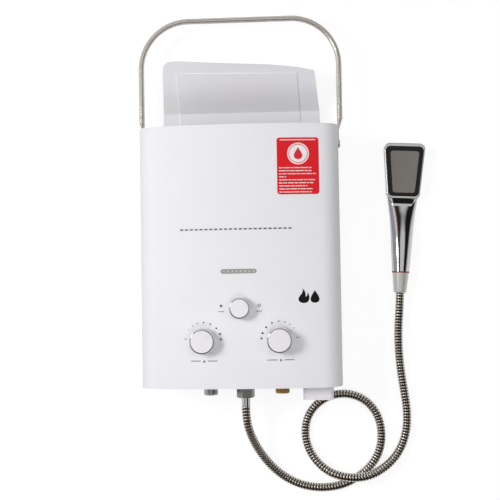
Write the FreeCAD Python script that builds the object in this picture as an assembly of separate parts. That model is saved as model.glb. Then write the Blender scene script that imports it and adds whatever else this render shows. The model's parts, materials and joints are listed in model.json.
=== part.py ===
import FreeCAD, Part
import math
import os

# Portable propane water heater, lying on its back as it is unpacked, with its shower hose
# and hand shower laid beside it. Millimetres. +X is to the right seen from the front,
# +Y is up the heater's own height and +Z points out of its front. The origin is the centre
# of the back face.

V = FreeCAD.Vector
X_AXIS, Y_AXIS, Z_AXIS = V(1, 0, 0), V(0, 1, 0), V(0, 0, 1)

# ---- Fits and sheet metal ---------------------------------------------------------------
SHEET = 0.8               # casing steel
GAP = 0.3                 # between sheets and around inserts
RUN_FIT = 0.05            # radial clearance of a turning or sliding shaft
SEAT_FIT = 0.03           # radial clearance of a still part in its hole
MOULD_FIT = 0.1           # between moulded pieces that sit in one another
PAST = 1.0                # how far a cut runs past the face it starts from
MERGE = 0.1               # overlap of two shapes that become one piece

# ---- Casing -----------------------------------------------------------------------------
CASE_W, CASE_H, CASE_D = 290.0, 375.0, 130.0
HALF_W = CASE_W / 2
TOP_Y = CASE_H / 2
LOW_Y = -TOP_Y
FRONT_RADIUS = 780.0      # gentle crown of the front
CORNER_RADIUS = 30.0      # upright front corners
LIP_W = 12.0              # inward lips at the cover's top and bottom
FLANGE_H = 20.0           # side flanges of the back panel
WALL_HOLE_R = 4.5
WALL_HOLE_DX, WALL_HOLE_DY, WALL_HOLE_Y = CASE_W - 40.0, CASE_H - 95.0, 25.0
PLATE_OUT = TOP_Y - SHEET - GAP          # outer face of the top and bottom plates, as |y|
PLATE_IN = PLATE_OUT - SHEET
TRAY_HALF_W = HALF_W - SHEET - GAP       # back panel, inside the cover

# ---- Cover and cap screws ---------------------------------------------------------------
SCREW_R, SCREW_HEAD_R, SCREW_HEAD_H = 1.95, 4.0, 2.0
SCREW_LEN = 8.0
COVER_SCREW_YS = (LOW_Y + 47.5, TOP_Y - 137.5)    # out of the swinging handle's way
COVER_SCREW_Z = 10.0

# ---- Rain cap ---------------------------------------------------------------------------
CAP_Z = 18.0              # back of its upright band
CAP_FOOT = 12.0           # foot on the top plate
CAP_BASE_HALF_W = HALF_W - 24.0
CAP_BEND_HALF_W = CAP_BASE_HALF_W - 1.0
CAP_TOP_X = HALF_W - 32.0
CAP_BEND_UP = 37.0        # bend line above the top plate
CAP_LEAN_Y, CAP_LEAN_Z = 74.0, 60.0      # run and lean of the part above the bend
CAP_BEND_R = 4.0
# Top edge from right to left, as (x, height over the case): it falls to the right.
CAP_TOP_EDGE = ((CAP_TOP_X, 88.5), (0.75 * CAP_TOP_X, 94.0), (0.4 * CAP_TOP_X, 98.0), (0.0, 100.0),
                (-0.79 * CAP_TOP_X, 105.0), (-CAP_TOP_X, 105.0))
CAP_CORNER_R = 14.0
CAP_SCREWS_X = [share * CAP_BASE_HALF_W for share in (-0.826, -0.33, 0.33, 0.826)]
PANEL_LEFT, PANEL_RIGHT = -HALF_W + 49.0, HALF_W - 51.5    # pressed panel
PANEL_TOP_EDGE = ((PANEL_RIGHT - 6.0, 86.0), ((PANEL_LEFT + PANEL_RIGHT) / 2, 87.4), (PANEL_LEFT + 1.0, 90.0))
PANEL_RISE, PANEL_SLOPE = 1.5, 1.3        # height, and width of its sloping edge

# ---- Carrying handle --------------------------------------------------------------------
ROD_R = 4.25
PIVOT_Y, PIVOT_Z = TOP_Y - 19.5, 45.0
HANDLE_TOP_Y = TOP_Y + 172.5
HANDLE_BEND_R = 72.0
STRAP_T, STRAP_W = 2.5, 13.0
TAPER_TOP_Y, TAPER_LOW_Y = PIVOT_Y + 38.0, PIVOT_Y + 19.0
PIVOT_R = 3.0
PIVOT_HEAD_R, PIVOT_HEAD_H = 6.0, 1.0
WASHER_T, WASHER_R = 0.5, 6.0
NUT_T, NUT_AF = 5.0, 10.0
PIVOT_END = 2.0           # length of the pivot screw past its nut

STRAP_IN = HALF_W + WASHER_T + RUN_FIT   # inner face of the strap
ROD_X = STRAP_IN + ROD_R

# ---- Knobs ------------------------------------------------------------------------------
GAS_KNOB_XY = (-51.9, LOW_Y + 67.9)
WATER_KNOB_XY = (56.5, LOW_Y + 68.4)
SEASON_KNOB_XY = (1.3, LOW_Y + 113.7)
BIG_KNOB_R, SMALL_KNOB_R = 18.9, 16.0
BIG_KNOB_H, SMALL_KNOB_H = 18.4, 16.0
KNOB_TAPER = 1.2
SKIRT_H, SKIRT_OUT = 2.0, 0.6            # wider rim at the knob's foot
RING_W, RING_H, RING_DROP, RING_ROUND = 2.3, 3.4, 0.5, 2.0   # trim ring; it sits below the knob's face
KNOB_LIFT = 0.4           # running gap between knob and cover
SPINDLE_R = 3.0
SPINDLE_GRIP = 10.0       # length inside the knob
SPINDLE_DEEP = 28.0       # length inside the valve
SHAFT_HOLE_R = 5.0

# ---- Flame window and label -------------------------------------------------------------
WINDOW_Y = LOW_Y + 165.7
WINDOW_L, WINDOW_H = 50.9, 6.5
SCREEN_T, SCREEN_EDGE = 0.8, 4.0
SCREEN_HOLE_R, SCREEN_PITCH, SCREEN_HOLES = 1.1, 6.0, 8
LABEL_X, LABEL_Y = (HALF_W - 88.3, HALF_W - 29.0), (TOP_Y - 101.7, TOP_Y - 21.0)
LABEL_R, LABEL_T, LABEL_OFF = 4.0, 0.25, 0.03

# ---- Valves -----------------------------------------------------------------------------
VALVE_Z, VALVE_TOP_Z = 40.0, CASE_D - 46.0
VALVE_Y = (LOW_Y + 47.5, LOW_Y + 89.5)
VALVE_CORNER_R = 5.0
GAS_VALVE_X = (-80.0, -28.0)
WATER_VALVE_X = (36.0, 80.0)
BOSS_R, BOSS_H = 9.0, 14.0
DRUM_R = 29.0             # diaphragm housing
DRUM_Z = 55.0             # axis of the housing and the push rod
DRUM_X = (8.0, 20.0)      # outer cover
DIAPHRAGM_T = 1.6
ROD_LINK_R = 2.0
ROD_TRAVEL, ROD_SPARE = 4.0, 1.0
ROD_IN_GAS = 13.0
COLLAR_R, COLLAR_T, COLLAR_X = 7.0, 3.0, -8.0
SWITCH_X, SWITCH_W, SWITCH_H = (-1.0, 8.0), 12.0, 12.0
SWITCH_OFF = 3.0          # underside of the switch over the rod's axis
PLUNGER_R, PLUNGER_OFF = 1.2, 5.5
PLUNGER_IN, PLUNGER_BORE = 4.5, 5.0
BRACKET_T = 1.5
BRACKET_IN = 6.0          # brackets start this far inside the valves' sides
WATER_BRACKET_LEFT = 44.0

# ---- Burner and heat exchanger ----------------------------------------------------------
BOX_HALF_W = HALF_W - 53.0
BOX_Z = (19.0, CASE_D - 24.0)
BURNER_LOW_Y, BURNER_TOP_Y = LOW_Y + 145.5, LOW_Y + 161.5
CHAMBER_TOP_Y, EXCHANGER_TOP_Y = TOP_Y - 117.5, TOP_Y - 57.5
BAR_W, BAR_COUNT, BAR_SIDE = 12.0, 9, 20.0      # BAR_SIDE: from the outer bars' middles to the box's side
BAR_PITCH = 2 * (BOX_HALF_W - BAR_SIDE) / (BAR_COUNT - 1)
BAR_END, BAR_WALL, BAR_ROOF, BAR_CORNER_R = 6.0, 1.2, 3.0, 3.0
RAIL_H = 8.0              # cross pieces under the bars' ends
MANIFOLD_Y = (BURNER_LOW_Y - 16.0, BURNER_LOW_Y - 4.0)
MANIFOLD_Z = (48.0, 62.0)
MANIFOLD_HALF_W = BOX_HALF_W - 6.0
JET_R, JET_H = 2.5, 3.0
GAS_PIPE_R = 7.0
FIN_T, FIN_COUNT, FIN_SIDE = 0.5, 24, 9.2
FIN_PITCH = 2 * (BOX_HALF_W - FIN_SIDE) / (FIN_COUNT - 1)
FIN_LOW, FIN_HIGH = 14.0, 6.0
TUBE_RUNS, TUBE_SIDE = 5, 11.5           # TUBE_SIDE: from the outer runs to the box's walls
TUBE_PITCH = (BOX_Z[1] - BOX_Z[0] - 2 * TUBE_SIDE) / (TUBE_RUNS - 1)
TUBE_R = TUBE_PITCH / 2 - 1.0
TUBE_Y = TOP_Y - 79.5
TUBE_OUT = 5.0            # straight length outside the shell
HOOD_TOP_HALF_W = BOX_HALF_W + 4.0
HOOD_TOP_Z = (32.0, CASE_D - 34.0)
RAIL_W = 12.0
RAIL_LOW_YS = (LOW_Y + 187.5, TOP_Y - 89.5)
SEASON_VALVE_HALF_W, SEASON_VALVE_DOWN, SEASON_CORNER_R = 15.0, 13.0, 3.0
ELECTRODE_X, ELECTRODE_Y = 38.0, LOW_Y + 173.5
ELECTRODE_OUT, ELECTRODE_IN = 6.0, 10.0  # sleeve lengths in front of and behind the box's wall
ELECTRODE_TOP_Z = BOX_Z[1] + ELECTRODE_OUT
CERAMIC_R, WIRE_R = 3.5, 1.2
WIRE_STRAIGHT, WIRE_HOOK, WIRE_BEND_R = 22.0, 8.0, 4.0
THERMOSTAT_XY = (BOX_HALF_W - 32.0, TOP_Y - 87.5)
THERMOSTAT_R, THERMOSTAT_H = 8.0, 9.0
THERMOSTAT_FLANGE = (24.0, 8.0, 1.0)     # width, height and thickness
PIPE_R, PIPE_BEND_R, PIPE_WALL = 6.0, 14.0, 1.0
HOT_STEM_TOP = LOW_Y + 8.5
COLD_PIPE_X, COLD_PIPE_START_X = BOX_HALF_W + 26.0, 66.0
COLD_PIPE_TURN_Y, COLD_PIPE_SLANT_Y = VALVE_Y[1] + 18.0, TUBE_Y - 40.0
HOT_PIPE_X, HOT_PIPE_Y, HOT_PIPE_Z = -BOX_HALF_W - 36.0, LOW_Y + 23.5, CASE_D - 36.0
IGNITER_X, IGNITER_Y = (-HALF_W + 9.0, -HALF_W + 41.0), (LOW_Y + 125.5, LOW_Y + 187.5)
IGNITER_H = 30.0
IGNITER_CORNER_R = 3.0
LEAD_R, LEAD_BEND_R = 1.5, 4.2
LEAD_RISE = 5.0           # height of the leads' run over the electrodes
LEAD_PLUGS = (6.0, 12.0)  # where they leave the igniter, from its inner side
LEAD_SPACING = 10.0

# ---- Fittings under the case ------------------------------------------------------------
PORT_Z = 50.0
GAS_PORT_X, HOT_PORT_X, COLD_PORT_X = -50.0, 2.0, 57.0
THREAD_R = 10.48          # G1/2 outside thread
THREAD_BORE_R, THREAD_BORE_LEN = 7.0, 17.0
GAS_PORT_END, HOT_PORT_END, COLD_PORT_END = LOW_Y - 17.5, LOW_Y - 15.5, LOW_Y - 15.5
THREAD_LEN = 13.0
COLLAR_AF, COLLAR_H = 27.0, 3.0
STEM_R = 8.5
THREAD_CHAMFER = 1.0

# ---- Battery compartment ----------------------------------------------------------------
BAT_X = (HALF_W - 57.0, HALF_W - 13.0)
BAT_Z = (CASE_D - 103.5, CASE_D - 33.5)
BAT_TOP_Y, BAT_LOW_Y = LOW_Y + 46.5, LOW_Y - 17.5
BAT_WALL, BAT_CORNER_R = 2.0, 8.0
CELL_R, CELL_NUB_R, CELL_NUB_H = 16.3, 4.5, 1.5
CONTACT_T, CONTACT_HALF_W = 0.8, 8.0
CELL_GAP = 0.2            # from the cells to each other and to the lid's strip
CELL_SPRING = 0.1
LID_T, LID_GAP = 2.8, 0.2
LEAD_TURN_Y, LEAD_LOW_Z = BAT_TOP_Y + 12.0, 6.8     # the battery lead's run to the igniter
HINGE_Z, HINGE_Y = BAT_Z[0] - 3.5, BAT_LOW_Y + 0.5
HINGE_R, HINGE_PIN_R, HINGE_WEB = 3.0, 1.25, 2.0
LUG_W, LUG_IN = 6.0, 4.0

# ---- Air inlet in the bottom plate ------------------------------------------------------
AIR_SLOTS, AIR_SLOT_W = 20, 3.0
AIR_SLOT_X, AIR_SLOT_END = -HALF_W + 23.0, BAT_X[0] - 17.0
AIR_SLOT_PITCH = (AIR_SLOT_END - AIR_SLOT_W - AIR_SLOT_X) / (AIR_SLOTS - 1)
AIR_SLOT_Z = (CASE_D - 54.0, CASE_D - 28.0)

# ---- Hose and hand shower ---------------------------------------------------------------
HOSE_R = 6.5
HOSE_LOW = HOSE_R + 0.2     # height of its middle where it lies on the floor
HOSE_NUT_AF, HOSE_NUT_TOP, HOSE_NUT_END = 23.5, LOW_Y - 4.0, HOT_PORT_END - 6.0
HOSE_NUT_TURN = 45.0      # degrees from a corner at the side
HOSE_NUT_CHAMFER = 1.6
HOSE_WASHER_T, WASHER_BORE_R = 1.8, 6.0
FERRULE_R, FERRULE_END = 6.5, HOT_PORT_END - 19.0
FERRULE_COLLAR_T, FERRULE_BORE_R = 1.5, 3.5
INSERT_R = 9.98           # washer and ferrule collar, inside the nut's thread
SHOWER_X, SHOWER_Y, SHOWER_Z = HOT_PORT_X + 236.6, FERRULE_END + 196.0, 13.6   # the collar ring's centre
SHOWER_TILT = 2.9         # degrees
SHOWER_RING_R, SHOWER_RING_T = 13.2, 2.0
CONE_R, CONE_END_R, CONE_LEN, CONE_RIM_R = 12.3, 9.4, 30.5, 2.5
CONE_FLOOR = 3.0          # closed end of the cone, which the hose enters
SHOWER_BORE_R = 5.0
HEAD_LOW, HEAD_TOP = 111.0, 196.0
HEAD_LOW_W, HEAD_TOP_W = 48.6, 63.4
HEAD_Z = (0.4, 23.0)
HEAD_CORNER_R = 9.0
HEAD_BACK_R, HEAD_RIM_R = 5.0, 1.5
HEAD_WALL, CHAMBER_IN = 2.5, 5.5
# Insets from the shell's outline at its sides, foot and brow: the frame, and the hole in it.
FRAME_IN = (1.9, 3.7, 4.9)
HOLE_IN = (8.5, 9.0, 12.3)
FRAME_CORNER_R, HOLE_CORNER_R = 7.0, 4.0
FRAME_RISE, FRAME_ROUND = 2.4, 1.2
FRAME_DEEP = 3.0          # depth of the pocket that holds the frame and the spray plate
PLATE_DROP = 0.8
# Sections of the grip: distance from the ring, half width, half height, height of the middle.
GRIP = ((0.0, 13.0, 13.0, 0.0), (25.0, 14.6, 12.9, 0.0), (56.0, 16.6, 12.0, -1.0), (86.0, 19.2, 9.7, -3.4),
        (106.0, 22.0, 8.4, -4.8), (122.0, 24.4, 8.4, -4.8))
GRIP_BORE = ((0.0, 8.5, 8.5, 0.0), (50.0, 8.0, 8.0, -0.8), (90.0, 5.5, 5.5, -5.5), (124.0, 5.5, 5.5, -5.5))
# Neck: a hollow-faced rise from the grip to the foot of the head, between two sloping sides.
NECK_R, NECK_Y, NECK_Z = 16.0, HEAD_LOW - 10.5, 20.0
NECK_FOOT_W, NECK_HEAD_W = 22.0, 34.5
NECK_LOW_Z, NECK_TOP_Z = -4.8, 8.0
NECK_FLARE = 4.5          # how far each side leans out on its way down
NECK_IN = 1.0             # how far it runs into the head

# The hose's route: from the ferrule down to the floor, once round, over itself and up to the cone.
# x and y are counted from the ferrule's end.
HOSE_ROUTE = [
    (0.0, 0.0, PORT_Z), (0.0, -17.0, PORT_Z), (4.5, -40.0, 43.5), (15.0, -66.0, 30.0),
    (32.5, -93.0, 16.5), (55.0, -114.0, 8.5), (82.0, -127.0, HOSE_LOW), (112.0, -131.0, HOSE_LOW),
    (141.0, -127.0, HOSE_LOW), (167.0, -114.5, HOSE_LOW), (188.0, -96.5, HOSE_LOW), (201.0, -73.0, HOSE_LOW),
    (204.0, -45.5, HOSE_LOW), (197.5, -18.5, HOSE_LOW), (180.0, 2.5, HOSE_LOW), (155.0, 12.5, HOSE_LOW),
    (128.0, 10.5, HOSE_LOW), (105.0, -3.0, HOSE_LOW), (90.0, -24.5, HOSE_LOW), (86.5, -50.5, HOSE_LOW),
    (93.5, -76.0, 7.8), (111.0, -97.5, 15.5), (137.0, -110.5, 24.5), (175.0, -113.0, 24.5),
    (207.0, -99.5, 15.5), (229.5, -77.0, 7.8), (241.0, -48.0, HOSE_LOW), (243.0, -16.0, HOSE_LOW),
    (238.5, 17.0, HOSE_LOW), (233.8, 50.0, HOSE_LOW), (231.5, 84.0, 7.2), (231.8, 114.0, 10.8),
]
HOSE_LEAD_IN = 24.0       # last straight run, in line with the cone
BEND_SHARE = 0.45         # share of the shorter run on each side that a bend takes up


# ---- Shape helpers ----------------------------------------------------------------------
def block(x, y, z):
    """A box between the two values given for each axis."""
    return Part.makeBox(x[1] - x[0], y[1] - y[0], z[1] - z[0], V(x[0], y[0], z[0]))


def rod(start, axis, radius, length):
    return Part.makeCylinder(radius, length, V(*start), axis)


def ring(start, axis, outer, inner, length):
    return rod(start, axis, outer, length).cut(rod(start, axis, inner, length))


def prism(points, vector):
    """A flat polygon pushed along a vector."""
    corners = [V(*p) for p in points]
    return Part.Face(Part.makePolygon(corners + corners[:1])).extrude(vector)


def hexagon(centre, across_flats, y_low, y_high, first=0.0):
    """An upright hexagonal bar along Y round the point (x, z), its first corner at this angle."""
    reach = across_flats / math.sqrt(3)
    points = []
    for i in range(6):
        turn = math.radians(first + 60 * i)
        points.append((centre[0] + reach * math.cos(turn), y_low, centre[1] + reach * math.sin(turn)))
    return prism(points, V(0, y_high - y_low, 0))


def hexagon_x(centre, across_flats, x_low, x_high):
    """A hexagonal bar along X round the point (y, z)."""
    reach = across_flats / math.sqrt(3)
    points = []
    for i in range(6):
        turn = math.radians(60 * i)
        points.append((x_low, centre[0] + reach * math.cos(turn), centre[1] + reach * math.sin(turn)))
    return prism(points, V(x_high - x_low, 0, 0))


def rounded_block(x, y, z, radius, along):
    """A box whose four edges along one axis (0, 1 or 2) are rounded."""
    body = block(x, y, z)
    edges = []
    for edge in body.Edges:
        step = edge.Vertexes[1].Point - edge.Vertexes[0].Point
        if abs(step[along]) > 1e-6:
            edges.append(edge)
    return body.makeFillet(radius, edges)


def rounded_path(points, radii):
    """Straight runs joined by tangent arcs: one edge list, and the arcs' radii."""
    corners = [V(*p) for p in points]
    edges = []
    here = corners[0]
    for i in range(1, len(corners) - 1):
        before = corners[i - 1] - corners[i]
        after = corners[i + 1] - corners[i]
        b, a = V(before).normalize(), V(after).normalize()
        turn = math.pi - b.getAngle(a)
        cut = radii[i - 1] * math.tan(turn / 2)
        start, end = corners[i] + b * cut, corners[i] + a * cut
        middle_way = V(b + a).normalize()
        centre = corners[i] + middle_way * (radii[i - 1] / math.cos(turn / 2))
        middle = centre - middle_way * radii[i - 1]
        if (start - here).Length > 1e-6:
            edges.append(Part.LineSegment(here, start).toShape())
        edges.append(Part.Arc(start, middle, end).toShape())
        here = end
    edges.append(Part.LineSegment(here, corners[-1]).toShape())
    return Part.Wire(edges)


def sweep(path, section):
    return path.makePipeShell([section], True, False)


def round_section(point, direction, radius):
    return Part.Wire([Part.makeCircle(radius, V(*point), direction)])


def bent_rod(points, radius, bend_radius):
    path = rounded_path(points, [bend_radius] * (len(points) - 2))
    return sweep(path, round_section(points[0], V(*points[1]) - V(*points[0]), radius))


def bent_pipe(points, radius, bend_radius, wall):
    return bent_rod(points, radius, bend_radius).cut(bent_rod(points, radius - wall, bend_radius))


def joined(shapes):
    """One clean solid out of overlapping ones."""
    body = shapes[0]
    if len(shapes) > 1:
        body = body.multiFuse(shapes[1:])
    body = body.removeSplitter()
    return body.Solids[0] if len(body.Solids) == 1 else body


def front_z(x):
    """Height of the cover's outer face over the back, on its crowned front."""
    return CASE_D - FRONT_RADIUS + math.sqrt(FRONT_RADIUS ** 2 - x ** 2)


def case_plan(inset, z_back, y):
    """Closed plan of the case at height y, pulled in by inset: sides, corners, crowned front."""
    crown = FRONT_RADIUS - inset
    corner = CORNER_RADIUS - inset
    half = HALF_W - inset
    crown_z = CASE_D - FRONT_RADIUS
    corner_x = HALF_W - CORNER_RADIUS
    reach = FRONT_RADIUS - CORNER_RADIUS
    corner_z = crown_z + math.sqrt(reach ** 2 - corner_x ** 2)
    tip = V(corner_x / reach, 0, (corner_z - crown_z) / reach)
    side_way = V(1, 0, 0)
    middle_way = V(tip + side_way).normalize()

    def mirrored(p):
        return V(-p.x, p.y, p.z)

    low = V(half, y, z_back)
    side = V(half, y, corner_z)
    middle = V(corner_x, y, corner_z) + middle_way * corner
    join = V(0, y, crown_z) + tip * crown
    crest = V(0, y, crown_z + crown)
    edges = [
        Part.LineSegment(mirrored(low), mirrored(side)).toShape(),
        Part.Arc(mirrored(side), mirrored(middle), mirrored(join)).toShape(),
        Part.Arc(mirrored(join), crest, join).toShape(),
        Part.Arc(join, middle, side).toShape(),
        Part.LineSegment(side, low).toShape(),
        Part.LineSegment(low, mirrored(low)).toShape(),
    ]
    return Part.Face(Part.Wire(edges))


def case_prism(inset, z_back, y_low, y_high):
    return case_plan(inset, z_back, y_low).extrude(V(0, y_high - y_low, 0))


def stadium(length, height, y, z):
    """A slot with round ends, lying along X, centred on x = 0."""
    straight = (length - height) / 2
    body = block((-straight, straight), (y - height / 2, y + height / 2), z)
    ends = [rod((s * straight, y, z[0]), Z_AXIS, height / 2, z[1] - z[0]) for s in (-1, 1)]
    return joined([body] + ends)


def wall_holes():
    """The four screw holes that hang the heater on a wall."""
    holes = []
    for sx in (-1, 1):
        for sy in (-1, 1):
            place = (sx * WALL_HOLE_DX / 2, WALL_HOLE_Y + sy * WALL_HOLE_DY / 2, -SHEET)
            holes.append(rod(place, Z_AXIS, WALL_HOLE_R, 3 * SHEET))
    return Part.Compound(holes)


# ---- Casing -----------------------------------------------------------------------------
def front_cover():
    shell = case_prism(0, GAP, -TOP_Y, TOP_Y)
    shell = shell.cut(case_prism(SHEET, -SHEET, -TOP_Y + SHEET, TOP_Y - SHEET))
    shell = shell.cut(case_prism(LIP_W, -SHEET, -TOP_Y - SHEET, TOP_Y + SHEET))
    for x, y in (GAS_KNOB_XY, WATER_KNOB_XY, SEASON_KNOB_XY):
        shell = shell.cut(rod((x, y, VALVE_TOP_Z), Z_AXIS, SHAFT_HOLE_R, CASE_D))
    shell = shell.cut(stadium(WINDOW_L, WINDOW_H, WINDOW_Y, (VALVE_TOP_Z, 2 * CASE_D)))
    for side in (-1, 1):
        outward = V(side, 0, 0)
        for y in COVER_SCREW_YS:
            start = (side * (HALF_W - 2 * SHEET), y, COVER_SCREW_Z)
            shell = shell.cut(rod(start, outward, SCREW_R + SEAT_FIT, 4 * SHEET))
        start = (side * (HALF_W - 2 * SHEET), PIVOT_Y, PIVOT_Z)
        shell = shell.cut(rod(start, outward, PIVOT_R + SEAT_FIT, 4 * SHEET))
    return shell


def back_panel():
    half_h = PLATE_IN - GAP
    base = block((-TRAY_HALF_W, TRAY_HALF_W), (-PLATE_OUT, PLATE_OUT), (0, SHEET))
    parts = [base]
    for side in (-1, 1):
        x = sorted((side * TRAY_HALF_W, side * (TRAY_HALF_W - SHEET)))
        parts.append(block(x, (-half_h, half_h), (0, FLANGE_H)))
    panel = joined(parts).cut(wall_holes())
    for side in (-1, 1):
        for y in COVER_SCREW_YS:
            start = (side * (TRAY_HALF_W - 2 * SHEET), y, COVER_SCREW_Z)
            panel = panel.cut(rod(start, V(side, 0, 0), SCREW_R + SEAT_FIT, 4 * SHEET))
    return panel


def cover_screws():
    screws = []
    for side in (-1, 1):
        for y in COVER_SCREW_YS:
            head = rod((side * HALF_W, y, COVER_SCREW_Z), V(side, 0, 0), SCREW_HEAD_R, SCREW_HEAD_H)
            shank = rod((side * HALF_W, y, COVER_SCREW_Z), V(-side, 0, 0), SCREW_R, SCREW_LEN)
            screws.append(joined([head, shank]))
    return screws


def top_plate():
    plate = case_prism(SHEET + GAP, SHEET, PLATE_IN, PLATE_OUT)
    opening = block((-HOOD_TOP_HALF_W, HOOD_TOP_HALF_W), (PLATE_IN - SHEET, TOP_Y), HOOD_TOP_Z)
    plate = plate.cut(opening)
    for x in CAP_SCREWS_X:
        place = (x, PLATE_IN - SHEET, CAP_Z - CAP_FOOT / 2)
        plate = plate.cut(rod(place, Y_AXIS, SCREW_R + SEAT_FIT, 3 * SHEET))
    return plate


def port_hole(x):
    return rod((x, -TOP_Y, PORT_Z), Y_AXIS, STEM_R + GAP, 4 * SHEET)


def bottom_plate():
    plate = case_prism(SHEET + GAP, SHEET, -PLATE_OUT, -PLATE_IN)
    for x in (GAS_PORT_X, HOT_PORT_X, COLD_PORT_X):
        plate = plate.cut(port_hole(x))
    opening = block((BAT_X[0] - GAP, BAT_X[1] + GAP), (-TOP_Y, -PLATE_IN + SHEET),
                    (BAT_Z[0] - GAP, BAT_Z[1] + GAP))
    plate = plate.cut(opening)
    slots = []
    for i in range(AIR_SLOTS):
        x = AIR_SLOT_X + i * AIR_SLOT_PITCH
        slots.append(block((x, x + AIR_SLOT_W), (-TOP_Y, -PLATE_IN + SHEET), AIR_SLOT_Z))
    return plate.cut(Part.Compound(slots))


def cap_path(front_offset, foot):
    """Side view of the rain cap's sheet as a bent line, moved forward by front_offset."""
    lean = V(0, CAP_LEAN_Y, CAP_LEAN_Z).normalize()
    slide = front_offset * math.tan(math.atan2(lean.z, lean.y) / 2)
    z = CAP_Z + SHEET / 2 + front_offset
    low_y = PLATE_OUT + SHEET / 2
    bend_y = PLATE_OUT + CAP_BEND_UP - slide
    tip = V(0, bend_y, z) + lean * math.hypot(CAP_LEAN_Y, CAP_LEAN_Z)
    if foot:
        points = [(0, low_y, CAP_Z - CAP_FOOT), (0, low_y, z), (0, bend_y, z), tuple(tip)]
        return rounded_path(points, [SHEET, CAP_BEND_R])
    return rounded_path([(0, low_y, z), (0, bend_y, z), tuple(tip)], [CAP_BEND_R - front_offset])


def strip_section(start, way, half_w, thickness):
    """A thin upright rectangle across X at the start of a bent line."""
    side = V(way).cross(X_AXIS).normalize() * (thickness / 2)
    low, high = V(-half_w, start.y, start.z), V(half_w, start.y, start.z)
    return Part.makePolygon([low - side, high - side, high + side, low + side, low - side])


def on_panel_rim(edge, sheet):
    """True for an edge between the raised panel's face and its sides or top."""
    middle = edge.valueAt((edge.FirstParameter + edge.LastParameter) / 2)
    out = Part.Vertex(middle).distToShape(sheet)[0]
    across = edge.BoundBox.XLength > 2 / 3 * (PANEL_RIGHT - PANEL_LEFT)
    return out > PANEL_RISE - MERGE and not across


def rain_cap():
    path = cap_path(0, True)
    start = path.Vertexes[0].Point
    sheet = sweep(path, strip_section(start, Z_AXIS, CAP_BASE_HALF_W, SHEET))
    low = PLATE_OUT - SHEET
    bend_y = PLATE_OUT + CAP_BEND_UP
    outline = prism([(-CAP_BASE_HALF_W, low, 0), (CAP_BASE_HALF_W, low, 0), (CAP_BEND_HALF_W, bend_y, 0)]
                    + [(x, TOP_Y + up, 0) for x, up in CAP_TOP_EDGE] + [(-CAP_BEND_HALF_W, bend_y, 0)],
                    V(0, 0, 2 * CASE_D))
    corner = [e for e in outline.Edges if (e.Vertexes[0].Point - e.Vertexes[1].Point).Length > CASE_D
              and abs(e.Vertexes[0].Point.x - CAP_TOP_EDGE[-1][0]) < 0.01]
    sheet = sheet.common(outline.makeFillet(CAP_CORNER_R, corner))
    raised_path = cap_path((SHEET + PANEL_RISE - MERGE) / 2, False)
    section = strip_section(raised_path.Vertexes[0].Point, Y_AXIS, CAP_BASE_HALF_W, PANEL_RISE + MERGE)
    low = PLATE_OUT + 1.5 * SHEET
    window = prism([(PANEL_LEFT, low, 0), (PANEL_RIGHT, low, 0)]
                   + [(x, TOP_Y + up, 0) for x, up in PANEL_TOP_EDGE], V(0, 0, 2 * CASE_D))
    panel = sweep(raised_path, section).common(window)
    rim = [e for e in panel.Edges if on_panel_rim(e, sheet)]
    cap = joined([sheet, panel.makeChamfer(PANEL_SLOPE, rim)])
    for x in CAP_SCREWS_X:
        place = (x, PLATE_OUT - SHEET, CAP_Z - CAP_FOOT / 2)
        cap = cap.cut(rod(place, Y_AXIS, SCREW_R + SEAT_FIT, 3 * SHEET))
    return cap


def cap_screws():
    screws = []
    y = PLATE_OUT + SHEET
    for x in CAP_SCREWS_X:
        z = CAP_Z - CAP_FOOT / 2
        head = rod((x, y, z), Y_AXIS, SCREW_HEAD_R, SCREW_HEAD_H)
        screws.append(joined([head, rod((x, y, z), V(0, -1, 0), SCREW_R, SCREW_LEN)]))
    return screws


def window_screen():
    back = front_z(WINDOW_L / 2 + SCREEN_EDGE) - SHEET - GAP - SCREEN_T
    plate = stadium(WINDOW_L + 2 * SCREEN_EDGE, WINDOW_H + 2 * SCREEN_EDGE, WINDOW_Y, (back, back + SCREEN_T))
    holes = []
    for i in range(SCREEN_HOLES):
        x = (i - (SCREEN_HOLES - 1) / 2) * SCREEN_PITCH
        holes.append(rod((x, WINDOW_Y, back - SCREEN_T), Z_AXIS, SCREEN_HOLE_R, 3 * SCREEN_T))
    return plate.cut(Part.Compound(holes))


def front_label():
    skin = case_prism(-LABEL_OFF - LABEL_T, GAP, *LABEL_Y).cut(
        case_prism(-LABEL_OFF, -GAP, LABEL_Y[0] - PAST, LABEL_Y[1] + PAST))
    area = rounded_block(LABEL_X, LABEL_Y, (VALVE_TOP_Z, 2 * CASE_D), LABEL_R, 2)
    return skin.common(area)


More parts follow.
